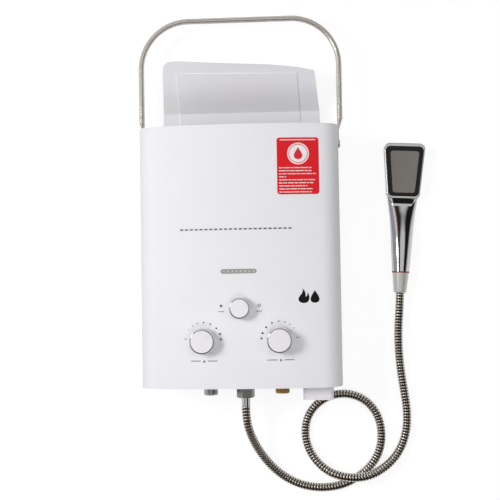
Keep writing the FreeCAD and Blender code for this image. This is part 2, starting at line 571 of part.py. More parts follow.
# ---- Carrying handle --------------------------------------------------------------------
def carry_handle():
    points = [(-ROD_X, TAPER_TOP_Y, PIVOT_Z), (-ROD_X, HANDLE_TOP_Y, PIVOT_Z),
              (ROD_X, HANDLE_TOP_Y, PIVOT_Z), (ROD_X, TAPER_TOP_Y, PIVOT_Z)]
    bow = bent_rod(points, ROD_R, HANDLE_BEND_R)
    parts = [bow]
    for side in (-1, 1):
        strap_x = side * (STRAP_IN + STRAP_T / 2)
        upper = round_section((side * ROD_X, TAPER_TOP_Y, PIVOT_Z), Y_AXIS, ROD_R)
        oval = Part.Ellipse(V(strap_x, TAPER_LOW_Y, PIVOT_Z + STRAP_W / 2),
                            V(strap_x + STRAP_T / 2, TAPER_LOW_Y, PIVOT_Z), V(strap_x, TAPER_LOW_Y, PIVOT_Z))
        parts.append(Part.makeLoft([upper, Part.Wire([oval.toShape()])], True, False))
        x = sorted((side * STRAP_IN, side * (STRAP_IN + STRAP_T)))
        half = STRAP_W / 2
        strap = block(x, (PIVOT_Y, TAPER_LOW_Y + MERGE), (PIVOT_Z - half, PIVOT_Z + half))
        eye = rod((x[0], PIVOT_Y, PIVOT_Z), X_AXIS, half, STRAP_T)
        parts += [strap, eye]
    handle = joined(parts)
    hole = rod((-CASE_W, PIVOT_Y, PIVOT_Z), X_AXIS, PIVOT_R + RUN_FIT, 2 * CASE_W)
    return handle.cut(hole)


def handle_screws():
    screws = []
    head_x = STRAP_IN + STRAP_T + RUN_FIT
    for side in (-1, 1):
        head = rod((side * head_x, PIVOT_Y, PIVOT_Z), V(side, 0, 0), PIVOT_HEAD_R, PIVOT_HEAD_H)
        inward = head_x - HALF_W + SHEET + NUT_T + PIVOT_END
        shank = rod((side * head_x, PIVOT_Y, PIVOT_Z), V(-side, 0, 0), PIVOT_R, inward)
        screws.append(joined([head, shank]))
    return screws


def handle_washers():
    washers = []
    for side in (-1, 1):
        washers.append(ring((side * HALF_W, PIVOT_Y, PIVOT_Z), V(side, 0, 0), WASHER_R,
                            PIVOT_R + SEAT_FIT, WASHER_T))
    return washers


def handle_nuts():
    nuts = []
    for side in (-1, 1):
        x = sorted((side * (HALF_W - SHEET), side * (HALF_W - SHEET - NUT_T)))
        nut = hexagon_x((PIVOT_Y, PIVOT_Z), NUT_AF, *x)
        nuts.append(nut.cut(rod((x[0] - PAST, PIVOT_Y, PIVOT_Z), X_AXIS, PIVOT_R + SEAT_FIT, NUT_T + 2 * PAST)))
    return nuts


# ---- Knobs ------------------------------------------------------------------------------
def knob_base(place, radius):
    """The plane that a knob turns on, clear of the crowned cover."""
    return front_z(max(abs(place[0]) - radius, 0)) + KNOB_LIFT


def knob_parts(place, radius, height):
    x, y = place
    low = knob_base(place, radius)
    top = low + height
    ring_low = top - RING_H
    skirt = rod((x, y, low), Z_AXIS, radius, SKIRT_H)
    body = Part.makeCone(radius - SKIRT_OUT, radius - KNOB_TAPER, height - RING_H, V(x, y, low), Z_AXIS)
    cap = rod((x, y, ring_low), Z_AXIS, radius - KNOB_TAPER - RING_W, RING_H)
    knob = joined([skirt, body, cap])
    knob = knob.cut(rod((x, y, low - PAST), Z_AXIS, SPINDLE_R + SEAT_FIT, SPINDLE_GRIP + PAST))
    outer, high = radius - KNOB_TAPER, RING_H - RING_DROP
    trim = rod((x, y, ring_low), Z_AXIS, outer, high)
    trim = trim.makeFillet(RING_ROUND, [e for e in trim.Edges if e.BoundBox.ZMin > ring_low + high - 0.01])
    return knob, trim.cut(rod((x, y, ring_low - PAST), Z_AXIS, outer - RING_W + SEAT_FIT, high + 2 * PAST))


def spindle(place, radius):
    """The shaft from a knob's hub down into its valve."""
    low = VALVE_TOP_Z + BOSS_H - SPINDLE_DEEP
    high = knob_base(place, radius) + SPINDLE_GRIP - GAP
    return rod((place[0], place[1], low), Z_AXIS, SPINDLE_R, high - low)


def spindle_bore(place):
    depth = SPINDLE_DEEP + GAP
    return rod((place[0], place[1], VALVE_TOP_Z + BOSS_H - depth), Z_AXIS, SPINDLE_R + RUN_FIT, depth + PAST)


def boss(place):
    return rod((place[0], place[1], VALVE_TOP_Z), Z_AXIS, BOSS_R, BOSS_H)


# ---- Valves -----------------------------------------------------------------------------
def gas_valve():
    body = rounded_block(GAS_VALVE_X, VALVE_Y, (VALVE_Z, VALVE_TOP_Z), VALVE_CORNER_R, 2)
    valve = joined([body, boss(GAS_KNOB_XY)]).cut(spindle_bore(GAS_KNOB_XY))
    deep = ROD_IN_GAS + ROD_TRAVEL + ROD_SPARE
    guide = rod((GAS_VALVE_X[1] - deep, WATER_KNOB_XY[1], DRUM_Z), X_AXIS, ROD_LINK_R + RUN_FIT, deep + PAST)
    return valve.cut(guide)


def water_valve():
    flange_x = DRUM_X[1] + DIAPHRAGM_T
    body = rounded_block(WATER_VALVE_X, VALVE_Y, (VALVE_Z, VALVE_TOP_Z), VALVE_CORNER_R, 2)
    flange = rod((flange_x, WATER_KNOB_XY[1], DRUM_Z), X_AXIS, DRUM_R, WATER_VALVE_X[0] - flange_x + MERGE)
    return joined([body, flange, boss(WATER_KNOB_XY)]).cut(spindle_bore(WATER_KNOB_XY))


def diaphragm():
    return rod((DRUM_X[1], WATER_KNOB_XY[1], DRUM_Z), X_AXIS, DRUM_R, DIAPHRAGM_T)


def diaphragm_cover():
    cover = rod((DRUM_X[0], WATER_KNOB_XY[1], DRUM_Z), X_AXIS, DRUM_R, DRUM_X[1] - DRUM_X[0])
    return cover.cut(rod((DRUM_X[0] - PAST, WATER_KNOB_XY[1], DRUM_Z), X_AXIS, ROD_LINK_R + RUN_FIT,
                         DRUM_X[1] - DRUM_X[0] + 2 * PAST))


def push_rod():
    low, high = GAS_VALVE_X[1] - ROD_IN_GAS, DRUM_X[1] - GAP
    stem = rod((low, WATER_KNOB_XY[1], DRUM_Z), X_AXIS, ROD_LINK_R, high - low)
    collar = rod((COLLAR_X, WATER_KNOB_XY[1], DRUM_Z), X_AXIS, COLLAR_R, COLLAR_T)
    return joined([stem, collar])


def microswitch():
    y = WATER_KNOB_XY[1]
    low = DRUM_Z + SWITCH_OFF
    body = block(SWITCH_X, (y - SWITCH_W / 2, y + SWITCH_W / 2), (low, low + SWITCH_H))
    return body.cut(rod((SWITCH_X[0] - PAST, y, DRUM_Z + PLUNGER_OFF), X_AXIS, PLUNGER_R + RUN_FIT,
                        PLUNGER_BORE + PAST))


def switch_plunger():
    low = COLLAR_X + COLLAR_T + GAP
    return rod((low, WATER_KNOB_XY[1], DRUM_Z + PLUNGER_OFF), X_AXIS, PLUNGER_R, SWITCH_X[0] + PLUNGER_IN - low)


def valve_brackets():
    brackets = []
    for x in (GAS_VALVE_X, (WATER_BRACKET_LEFT, WATER_VALVE_X[1])):
        outer = block((x[0] + BRACKET_IN, x[1] - BRACKET_IN), VALVE_Y, (SHEET, VALVE_Z))
        inner = block((x[0], x[1]), (VALVE_Y[0] + BRACKET_T, VALVE_Y[1] - BRACKET_T),
                      (0, VALVE_Z - BRACKET_T))
        brackets.append(outer.cut(inner))
    return brackets


def port(x, end, top):
    """A threaded pipe end with a hexagonal collar against the bottom plate."""
    thread_top = end + THREAD_LEN
    thread = rod((x, end, PORT_Z), Y_AXIS, THREAD_R, thread_top - end)
    rim = [e for e in thread.Edges if abs(e.BoundBox.YMax - end) < 0.01 and e.BoundBox.YLength < 0.01]
    thread = thread.makeChamfer(THREAD_CHAMFER, rim)
    collar = hexagon((x, PORT_Z), COLLAR_AF, -PLATE_OUT - COLLAR_H, -PLATE_OUT)
    stem = rod((x, thread_top - MERGE, PORT_Z), Y_AXIS, STEM_R, top - thread_top + MERGE)
    bore = rod((x, end - PAST, PORT_Z), Y_AXIS, THREAD_BORE_R, THREAD_BORE_LEN + PAST)
    return joined([thread, collar, stem]).cut(bore)


# ---- Burner, exchanger and flue ---------------------------------------------------------
def duct(half_w, y, z, wall):
    outer = block((-half_w, half_w), y, z)
    return outer.cut(block((-half_w + wall, half_w - wall), (y[0] - PAST, y[1] + PAST),
                           (z[0] + wall, z[1] - wall)))


def combustion_box():
    box = duct(BOX_HALF_W, (BURNER_LOW_Y, CHAMBER_TOP_Y), BOX_Z, SHEET)
    box = box.cut(stadium(WINDOW_L, WINDOW_H, WINDOW_Y, (BOX_Z[1] - 2 * SHEET, BOX_Z[1] + SHEET)))
    for side in (-1, 1):
        place = (side * ELECTRODE_X, ELECTRODE_Y, BOX_Z[1] - 2 * SHEET)
        box = box.cut(rod(place, Z_AXIS, CERAMIC_R + SEAT_FIT, 4 * SHEET))
    return box


def burner_bars():
    bars = []
    z = (BOX_Z[0] + SHEET + BAR_END, BOX_Z[1] - SHEET - BAR_END)
    for i in range(BAR_COUNT):
        x = (i - (BAR_COUNT - 1) / 2) * BAR_PITCH
        outer = rounded_block((x - BAR_W / 2, x + BAR_W / 2), (BURNER_LOW_Y, BURNER_TOP_Y), z,
                              BAR_CORNER_R, 2)
        inside = block((x - BAR_W / 2 + BAR_WALL, x + BAR_W / 2 - BAR_WALL),
                       (BURNER_LOW_Y - PAST, BURNER_TOP_Y - BAR_ROOF),
                       (z[0] + BAR_WALL, z[1] - BAR_WALL))
        bars.append(outer.cut(inside))
    return Part.Compound(bars)


def burner_rails():
    """The two cross pieces that carry the burner bars' ends."""
    rails = []
    half = BOX_HALF_W - SHEET - GAP / 2
    for z in ((BOX_Z[0] + SHEET, BOX_Z[0] + SHEET + BAR_END), (BOX_Z[1] - SHEET - BAR_END, BOX_Z[1] - SHEET)):
        rails.append(block((-half, half), (BURNER_LOW_Y, BURNER_LOW_Y + RAIL_H), z))
    return rails


def gas_manifold():
    """The bar that feeds the jets, with the stub that rises to it from the gas valve."""
    bar = block((-MANIFOLD_HALF_W, MANIFOLD_HALF_W), MANIFOLD_Y, MANIFOLD_Z)
    z = (MANIFOLD_Z[0] + MANIFOLD_Z[1]) / 2
    stub = rod((GAS_KNOB_XY[0], VALVE_Y[1], z), Y_AXIS, GAS_PIPE_R, MANIFOLD_Y[1] - VALVE_Y[1])
    return joined([bar, stub])


def gas_jets():
    jets = []
    z = (MANIFOLD_Z[0] + MANIFOLD_Z[1]) / 2
    for i in range(BAR_COUNT):
        x = (i - (BAR_COUNT - 1) / 2) * BAR_PITCH
        jets.append(rod((x, MANIFOLD_Y[1], z), Y_AXIS, JET_R, JET_H))
    return Part.Compound(jets)


def season_valve():
    x, y = SEASON_KNOB_XY
    half = SEASON_VALVE_HALF_W
    body = rounded_block((x - half, x + half), (y - SEASON_VALVE_DOWN, MANIFOLD_Y[0]),
                         (MANIFOLD_Z[0], VALVE_TOP_Z), SEASON_CORNER_R, 2)
    return joined([body, boss(SEASON_KNOB_XY)]).cut(spindle_bore(SEASON_KNOB_XY))


def tube_rows():
    middle = (BOX_Z[0] + BOX_Z[1]) / 2
    return [middle + (i - (TUBE_RUNS - 1) / 2) * TUBE_PITCH for i in range(TUBE_RUNS)]


def tube_holes(half, clearance):
    holes = [rod((-half, TUBE_Y, z), X_AXIS, TUBE_R + clearance, 2 * half) for z in tube_rows()]
    return Part.Compound(holes)


def exchanger_shell():
    shell = duct(BOX_HALF_W, (CHAMBER_TOP_Y, EXCHANGER_TOP_Y), BOX_Z, SHEET)
    return shell.cut(tube_holes(BOX_HALF_W + PAST, SEAT_FIT))


def exchanger_fins():
    y = (CHAMBER_TOP_Y + FIN_LOW, EXCHANGER_TOP_Y - FIN_HIGH)
    z = (BOX_Z[0] + SHEET + GAP, BOX_Z[1] - SHEET - GAP)
    holes = tube_holes(BOX_HALF_W, SEAT_FIT)
    fins = []
    for i in range(FIN_COUNT):
        x = (i - (FIN_COUNT - 1) / 2) * FIN_PITCH
        fins.append(block((x - FIN_T / 2, x + FIN_T / 2), y, z).cut(holes))
    return Part.Compound(fins)


def exchanger_tube():
    """One tube that runs to and fro through the fins, from the cold side to the hot side."""
    rows = tube_rows()
    half = BOX_HALF_W + TUBE_OUT
    loop = TUBE_PITCH / 2
    edges = []
    side = 1
    for i, z in enumerate(rows):
        start, end = V(side * half, TUBE_Y, z), V(-side * half, TUBE_Y, z)
        edges.append(Part.LineSegment(start, end).toShape())
        if i < len(rows) - 1:
            far = V(-side * (half + loop), TUBE_Y, z + loop)
            edges.append(Part.Arc(end, far, V(-side * half, TUBE_Y, z + TUBE_PITCH)).toShape())
        side = -side
    path = Part.Wire(edges)
    tube, bore = [sweep(path, round_section((half, TUBE_Y, rows[0]), X_AXIS, radius))
                  for radius in (TUBE_R, TUBE_R - PIPE_WALL)]
    return tube.cut(bore)


def cold_pipe():
    z = (VALVE_Z + VALVE_TOP_Z) / 2
    row = tube_rows()[0]
    points = [(COLD_PIPE_START_X, VALVE_Y[1], z), (COLD_PIPE_START_X, COLD_PIPE_TURN_Y, z),
              (COLD_PIPE_X, COLD_PIPE_TURN_Y, z), (COLD_PIPE_X, COLD_PIPE_SLANT_Y, z),
              (COLD_PIPE_X, TUBE_Y, row), (BOX_HALF_W + TUBE_OUT, TUBE_Y, row)]
    return bent_pipe(points, PIPE_R, PIPE_BEND_R, PIPE_WALL)


def hot_pipe():
    row = tube_rows()[-1]
    points = [(-BOX_HALF_W - TUBE_OUT, TUBE_Y, row), (HOT_PIPE_X, TUBE_Y, row),
              (HOT_PIPE_X, HOT_PIPE_Y, HOT_PIPE_Z), (HOT_PORT_X, HOT_PIPE_Y, HOT_PIPE_Z),
              (HOT_PORT_X, HOT_PIPE_Y, PORT_Z), (HOT_PORT_X, HOT_STEM_TOP, PORT_Z)]
    return bent_pipe(points, PIPE_R, PIPE_BEND_R, PIPE_WALL)


def flue_hood():
    low, high = EXCHANGER_TOP_Y, PLATE_IN

    def frame(y, half_w, z, inset):
        a, b = half_w - inset, -half_w + inset
        return Part.makePolygon([V(a, y, z[0] + inset), V(a, y, z[1] - inset), V(b, y, z[1] - inset),
                                 V(b, y, z[0] + inset), V(a, y, z[0] + inset)])

    def funnel(inset):
        return Part.makeLoft([frame(low, BOX_HALF_W, BOX_Z, inset),
                              frame(high, HOOD_TOP_HALF_W + SHEET, (HOOD_TOP_Z[0] - SHEET, HOOD_TOP_Z[1] + SHEET),
                                    inset)], True, True)

    return funnel(0).cut(funnel(SHEET))


def mounting_rails():
    rails = []
    for low in RAIL_LOW_YS:
        y = (low, low + RAIL_W)
        outer = block((-BOX_HALF_W, BOX_HALF_W), y, (SHEET, BOX_Z[0]))
        inner = block((-CASE_W, CASE_W), (y[0] + BRACKET_T, y[1] - BRACKET_T), (0, BOX_Z[0] - BRACKET_T))
        rails.append(outer.cut(inner))
    return rails


def electrode(side):
    """A bent spark or sensing wire in its ceramic sleeve."""
    x = side * ELECTRODE_X
    low = BOX_Z[1] - ELECTRODE_IN
    sleeve = rod((x, ELECTRODE_Y, low), Z_AXIS, CERAMIC_R, ELECTRODE_TOP_Z - low)
    bend_z = low - WIRE_STRAIGHT
    tip = bent_rod([(x, ELECTRODE_Y, low + WIRE_R), (x, ELECTRODE_Y, bend_z),
                    (x, ELECTRODE_Y - WIRE_HOOK, bend_z - WIRE_HOOK)], WIRE_R, WIRE_BEND_R)
    return joined([sleeve, tip])


def ignition_leads():
    """The two insulated wires from the igniter to the electrodes."""
    base_z = SHEET + IGNITER_H
    run_z = ELECTRODE_TOP_Z + LEAD_RISE
    near_x, far_x = [IGNITER_X[1] - inset for inset in LEAD_PLUGS]
    near = [(near_x, ELECTRODE_Y, base_z), (near_x, ELECTRODE_Y, run_z), (-ELECTRODE_X, ELECTRODE_Y, run_z),
            (-ELECTRODE_X, ELECTRODE_Y, ELECTRODE_TOP_Z)]
    y = ELECTRODE_Y + LEAD_SPACING
    far = [(far_x, y, base_z), (far_x, y, run_z), (ELECTRODE_X, y, run_z),
           (ELECTRODE_X, ELECTRODE_Y, run_z), (ELECTRODE_X, ELECTRODE_Y, ELECTRODE_TOP_Z)]
    return [bent_rod(points, LEAD_R, LEAD_BEND_R) for points in (near, far)]


def igniter_module():
    return rounded_block(IGNITER_X, IGNITER_Y, (SHEET, SHEET + IGNITER_H), IGNITER_CORNER_R, 2)


def thermostat():
    place = (*THERMOSTAT_XY, BOX_Z[1])
    button = rod(place, Z_AXIS, THERMOSTAT_R, THERMOSTAT_H)
    width, height, thick = THERMOSTAT_FLANGE
    flange = block((place[0] - width / 2, place[0] + width / 2), (place[1] - height / 2, place[1] + height / 2),
                   (BOX_Z[1], BOX_Z[1] + thick))
    return joined([button, flange])


# ---- Battery compartment ----------------------------------------------------------------
def battery_box():
    z = BAT_Z
    outer = rounded_block(BAT_X, (BAT_LOW_Y, BAT_TOP_Y), z, BAT_CORNER_R, 1)
    inner = rounded_block((BAT_X[0] + BAT_WALL, BAT_X[1] - BAT_WALL), (BAT_LOW_Y - PAST, BAT_TOP_Y - BAT_WALL),
                          (z[0] + BAT_WALL, z[1] - BAT_WALL), BAT_CORNER_R - BAT_WALL, 1)
    parts = [outer.cut(inner)]
    for x in lug_spans():
        parts.append(hinge_leaf(x, (HINGE_Y, HINGE_Y + HINGE_R + HINGE_WEB), z[0] + BAT_WALL / 2))
    box = joined(parts)
    return box.cut(rod((BAT_X[0], HINGE_Y, HINGE_Z), X_AXIS, HINGE_PIN_R + SEAT_FIT, BAT_X[1] - BAT_X[0]))


def lug_spans():
    return ((BAT_X[0] + LUG_IN, BAT_X[0] + LUG_IN + LUG_W), (BAT_X[1] - LUG_IN - LUG_W, BAT_X[1] - LUG_IN))


def hinge_leaf(x, y, z_to):
    """A hinge knuckle with the web that ties it to a wall."""
    knuckle = rod((x[0], HINGE_Y, HINGE_Z), X_AXIS, HINGE_R, x[1] - x[0])
    web = block(x, y, (HINGE_Z, z_to))
    return knuckle.fuse(web)


def battery_lid():
    low, high = BAT_LOW_Y - LID_GAP - LID_T, BAT_LOW_Y - LID_GAP
    plate = rounded_block(BAT_X, (low, high), BAT_Z, BAT_CORNER_R, 1)
    left, right = lug_spans()
    span = (left[1] + GAP, right[0] - GAP)
    knuckle = rod((span[0], HINGE_Y, HINGE_Z), X_AXIS, HINGE_R, span[1] - span[0])
    web = block(span, (low, high), (HINGE_Z, BAT_Z[0] + BAT_WALL))
    lid = joined([plate, knuckle, web])
    return lid.cut(rod((BAT_X[0], HINGE_Y, HINGE_Z), X_AXIS, HINGE_PIN_R + RUN_FIT, BAT_X[1] - BAT_X[0]))


def lid_hinge_pin():
    left, right = lug_spans()
    return rod((left[0], HINGE_Y, HINGE_Z), X_AXIS, HINGE_PIN_R, right[1] - left[0])


def cell_places():
    middle = (BAT_Z[0] + BAT_Z[1]) / 2
    x = (BAT_X[0] + BAT_X[1]) / 2
    return [(x, middle - CELL_R - CELL_GAP), (x, middle + CELL_R + CELL_GAP)]


def batteries():
    cells = []
    high = BAT_TOP_Y - BAT_WALL - CONTACT_T - CELL_SPRING
    low = BAT_LOW_Y + CONTACT_T + CELL_GAP
    for x, z in cell_places():
        can = rod((x, low, z), Y_AXIS, CELL_R, high - CELL_NUB_H - low)
        nub = rod((x, low, z), Y_AXIS, CELL_NUB_R, high - low)
        cells.append(joined([can, nub]))
    return Part.Compound(cells)


def battery_contacts():
    plates = []
    high = BAT_TOP_Y - BAT_WALL
    for x, z in cell_places():
        plates.append(block((x - CONTACT_HALF_W, x + CONTACT_HALF_W), (high - CONTACT_T, high),
                            (z - CONTACT_HALF_W, z + CONTACT_HALF_W)))
    return Part.Compound(plates)


def battery_link():
    """The strip on the lid that joins the two cells."""
    x, z_low = cell_places()[0]
    z_high = cell_places()[1][1]
    low = BAT_LOW_Y - LID_GAP
    return block((x - CONTACT_HALF_W, x + CONTACT_HALF_W), (low, low + CONTACT_T),
                 (z_low - CONTACT_HALF_W, z_high + CONTACT_HALF_W))


def battery_lead():
    x, z = cell_places()[0]
    end_x = (IGNITER_X[0] + IGNITER_X[1]) / 2
    points = [(x, BAT_TOP_Y, z), (x, LEAD_TURN_Y, z), (x, LEAD_TURN_Y, LEAD_LOW_Z),
              (end_x, LEAD_TURN_Y, LEAD_LOW_Z), (end_x, IGNITER_Y[0], LEAD_LOW_Z)]
    return bent_rod(points, LEAD_R, LEAD_BEND_R)


# ---- Hose and hand shower ---------------------------------------------------------------
def hose_nut():
    body = hexagon((HOT_PORT_X, PORT_Z), HOSE_NUT_AF, HOSE_NUT_END, HOSE_NUT_TOP, HOSE_NUT_TURN)
    reach = HOSE_NUT_AF / math.sqrt(3)
    length = HOSE_NUT_TOP - HOSE_NUT_END
    barrel = rod((HOT_PORT_X, HOSE_NUT_END, PORT_Z), Y_AXIS, reach, length)
    ends = [e for e in barrel.Edges if e.BoundBox.YLength < 0.01]
    barrel = barrel.makeChamfer(HOSE_NUT_CHAMFER, ends)
    body = body.common(barrel)
    seat = HOT_PORT_END - HOSE_WASHER_T - FERRULE_COLLAR_T - MOULD_FIT
    body = body.cut(rod((HOT_PORT_X, seat, PORT_Z), Y_AXIS, THREAD_R + SEAT_FIT, HOSE_NUT_TOP - seat + PAST))
    return body.cut(rod((HOT_PORT_X, HOSE_NUT_END - PAST, PORT_Z), Y_AXIS, FERRULE_R + SEAT_FIT, length))


def hose_washer():
    return ring((HOT_PORT_X, HOT_PORT_END - HOSE_WASHER_T, PORT_Z), Y_AXIS, INSERT_R,
                WASHER_BORE_R, HOSE_WASHER_T)


def hose_ferrule():
    top = HOT_PORT_END - HOSE_WASHER_T
    collar = rod((HOT_PORT_X, top - FERRULE_COLLAR_T, PORT_Z), Y_AXIS, INSERT_R, FERRULE_COLLAR_T)
    tail = rod((HOT_PORT_X, FERRULE_END, PORT_Z), Y_AXIS, FERRULE_R, top - FERRULE_END)
    return joined([collar, tail]).cut(rod((HOT_PORT_X, FERRULE_END - PAST, PORT_Z), Y_AXIS, FERRULE_BORE_R,
                                          top - FERRULE_END + 2 * PAST))


def shower_place(shape):
    """Moves a piece from the shower's own axis (local +Y, ring at the origin) to where it lies."""
    shape.rotate(V(0, 0, 0), Z_AXIS, -SHOWER_TILT)
    shape.translate(V(SHOWER_X, SHOWER_Y, SHOWER_Z))
    return shape


def shower_axis_point(along):
    turn = math.radians(SHOWER_TILT)
    return (SHOWER_X + along * math.sin(turn), SHOWER_Y + along * math.cos(turn), SHOWER_Z)


def head_slab(insets, z_low, z_high, radius):
    """A slab of the head's tapered outline, pulled in at its sides, foot and brow."""
    side, foot, brow = insets
    low, high = HEAD_LOW + foot, HEAD_TOP - brow
    slope = (HEAD_TOP_W - HEAD_LOW_W) / 2 / (HEAD_TOP - HEAD_LOW)
    a = HEAD_LOW_W / 2 + slope * foot - side
    b = HEAD_TOP_W / 2 - slope * brow - side
    middle = (0, low, z_low)
    corners = [(a, low, z_low), (b, high, z_low), (-b, high, z_low), (-a, low, z_low)]
    outline = rounded_path([middle] + corners + [middle], [radius] * len(corners))
    return Part.Face(outline).extrude(V(0, 0, z_high - z_low))


def wider(insets, fit):
    return tuple(inset + fit for inset in insets)


def oval_loft(sections, first):
    """A smooth body through ovals set along the shower's axis, from first on."""
    wires = []
    for along, half_w, half_h, lift in sections:
        start = max(along, first)
        centre = V(0, start, lift)
        if half_w > half_h:
            oval = Part.Ellipse(V(half_w, start, lift), V(0, start, lift + half_h), centre).toShape()
        else:
            oval = Part.makeCircle(half_w, centre, Y_AXIS, 0, 360)
        wires.append(Part.Wire([oval]))
    return Part.makeLoft(wires, True, False)


def neck():
    """The rise from the grip's front to the head."""
    sheets = []
    for z, lean in ((NECK_LOW_Z, NECK_FLARE), (NECK_TOP_Z, 0)):
        foot, head = NECK_FOOT_W / 2 + lean, NECK_HEAD_W / 2 + lean
        corners = [V(x, y, z) for x, y in ((-foot, NECK_Y), (foot, NECK_Y), (head, HEAD_LOW + NECK_IN),
                                           (-head, HEAD_LOW + NECK_IN), (-foot, NECK_Y))]
        sheets.append(Part.makePolygon(corners))
    sides = Part.makeLoft(sheets, True, True)
    return sides.cut(rod((-HEAD_TOP_W / 2, NECK_Y, NECK_Z), X_AXIS, NECK_R, HEAD_TOP_W))


def shower_body():
    low, high = HEAD_Z[0] - SHOWER_Z, HEAD_Z[1] - SHOWER_Z
    head = head_slab((0, 0, 0), low, high, HEAD_CORNER_R)
    head = head.makeFillet(HEAD_BACK_R, [e for e in head.Edges if abs(e.BoundBox.ZMax - low) < 0.01])
    head = head.makeFillet(HEAD_RIM_R, [e for e in head.Edges if abs(e.BoundBox.ZMin - high) < 0.01])
    body = joined([oval_loft(GRIP, SHOWER_RING_T / 2), head, neck()])
    pocket = head_slab(FRAME_IN, high - FRAME_DEEP, high + PAST, FRAME_CORNER_R)
    chamber = head_slab(wider((0, 0, 0), CHAMBER_IN), low + HEAD_WALL, high, HEAD_CORNER_R - HEAD_WALL)
    body = body.cut(pocket).cut(oval_loft(GRIP_BORE, 0)).cut(chamber)
    return shower_place(body)


def shower_frame():
    high = HEAD_Z[1] - SHOWER_Z
    low = high - FRAME_DEEP
    frame = head_slab(wider(FRAME_IN, MOULD_FIT), low, high + FRAME_RISE, FRAME_CORNER_R)
    front_edges = [e for e in frame.Edges if abs(e.BoundBox.ZMin - high - FRAME_RISE) < 0.01]
    frame = frame.makeFillet(FRAME_ROUND, front_edges)
    hole = head_slab(HOLE_IN, low - PAST, high + FRAME_RISE + PAST, HOLE_CORNER_R)
    return shower_place(frame.cut(hole))


def spray_plate():
    high = HEAD_Z[1] - SHOWER_Z
    return shower_place(head_slab(wider(HOLE_IN, MOULD_FIT), high - FRAME_DEEP, high + FRAME_RISE - PLATE_DROP,
                                  HOLE_CORNER_R))


def shower_ring():
    start = (0, -SHOWER_RING_T / 2, 0)
    return shower_place(ring(start, Y_AXIS, SHOWER_RING_R, SHOWER_BORE_R, SHOWER_RING_T))


def cone_nut():
    top = -SHOWER_RING_T / 2
    cone = Part.makeCone(CONE_R, CONE_END_R, CONE_LEN, V(0, top, 0), V(0, -1, 0))
    rim = [e for e in cone.Edges if e.BoundBox.YLength < 0.01 and e.BoundBox.YMax < top - 1]
    cone = cone.makeFillet(CONE_RIM_R, rim)
    bore = rod((0, top + PAST, 0), V(0, -1, 0), SHOWER_BORE_R, CONE_LEN - CONE_FLOOR + PAST)
    return shower_place(cone.cut(bore))


def shower_hose():
    """The hose as one plain tube, with the radii of its bends and its length printed."""
    end = -SHOWER_RING_T / 2 - CONE_LEN
    points = [(HOT_PORT_X + x, FERRULE_END + y, z) for x, y, z in HOSE_ROUTE]
    points += [shower_axis_point(end - HOSE_LEAD_IN), shower_axis_point(end)]
    corners = [V(*p) for p in points]
    runs = [(corners[i + 1] - corners[i]).Length for i in range(len(corners) - 1)]
    radii = []
    for i in range(1, len(corners) - 1):
        turn = (corners[i] - corners[i - 1]).getAngle(corners[i + 1] - corners[i])
        radii.append(BEND_SHARE * min(runs[i - 1], runs[i]) / math.tan(turn / 2))
    path = rounded_path(points, radii)
    tube = sweep(path, round_section(points[0], corners[1] - corners[0], HOSE_R))
    print("hose: length %.1f, smallest radii %s, volume / (section x length) %.4f" % (
        path.Length, [round(r, 1) for r in sorted(radii)[:4]],
        tube.Volume / (math.pi * HOSE_R ** 2 * path.Length)))
    return tube


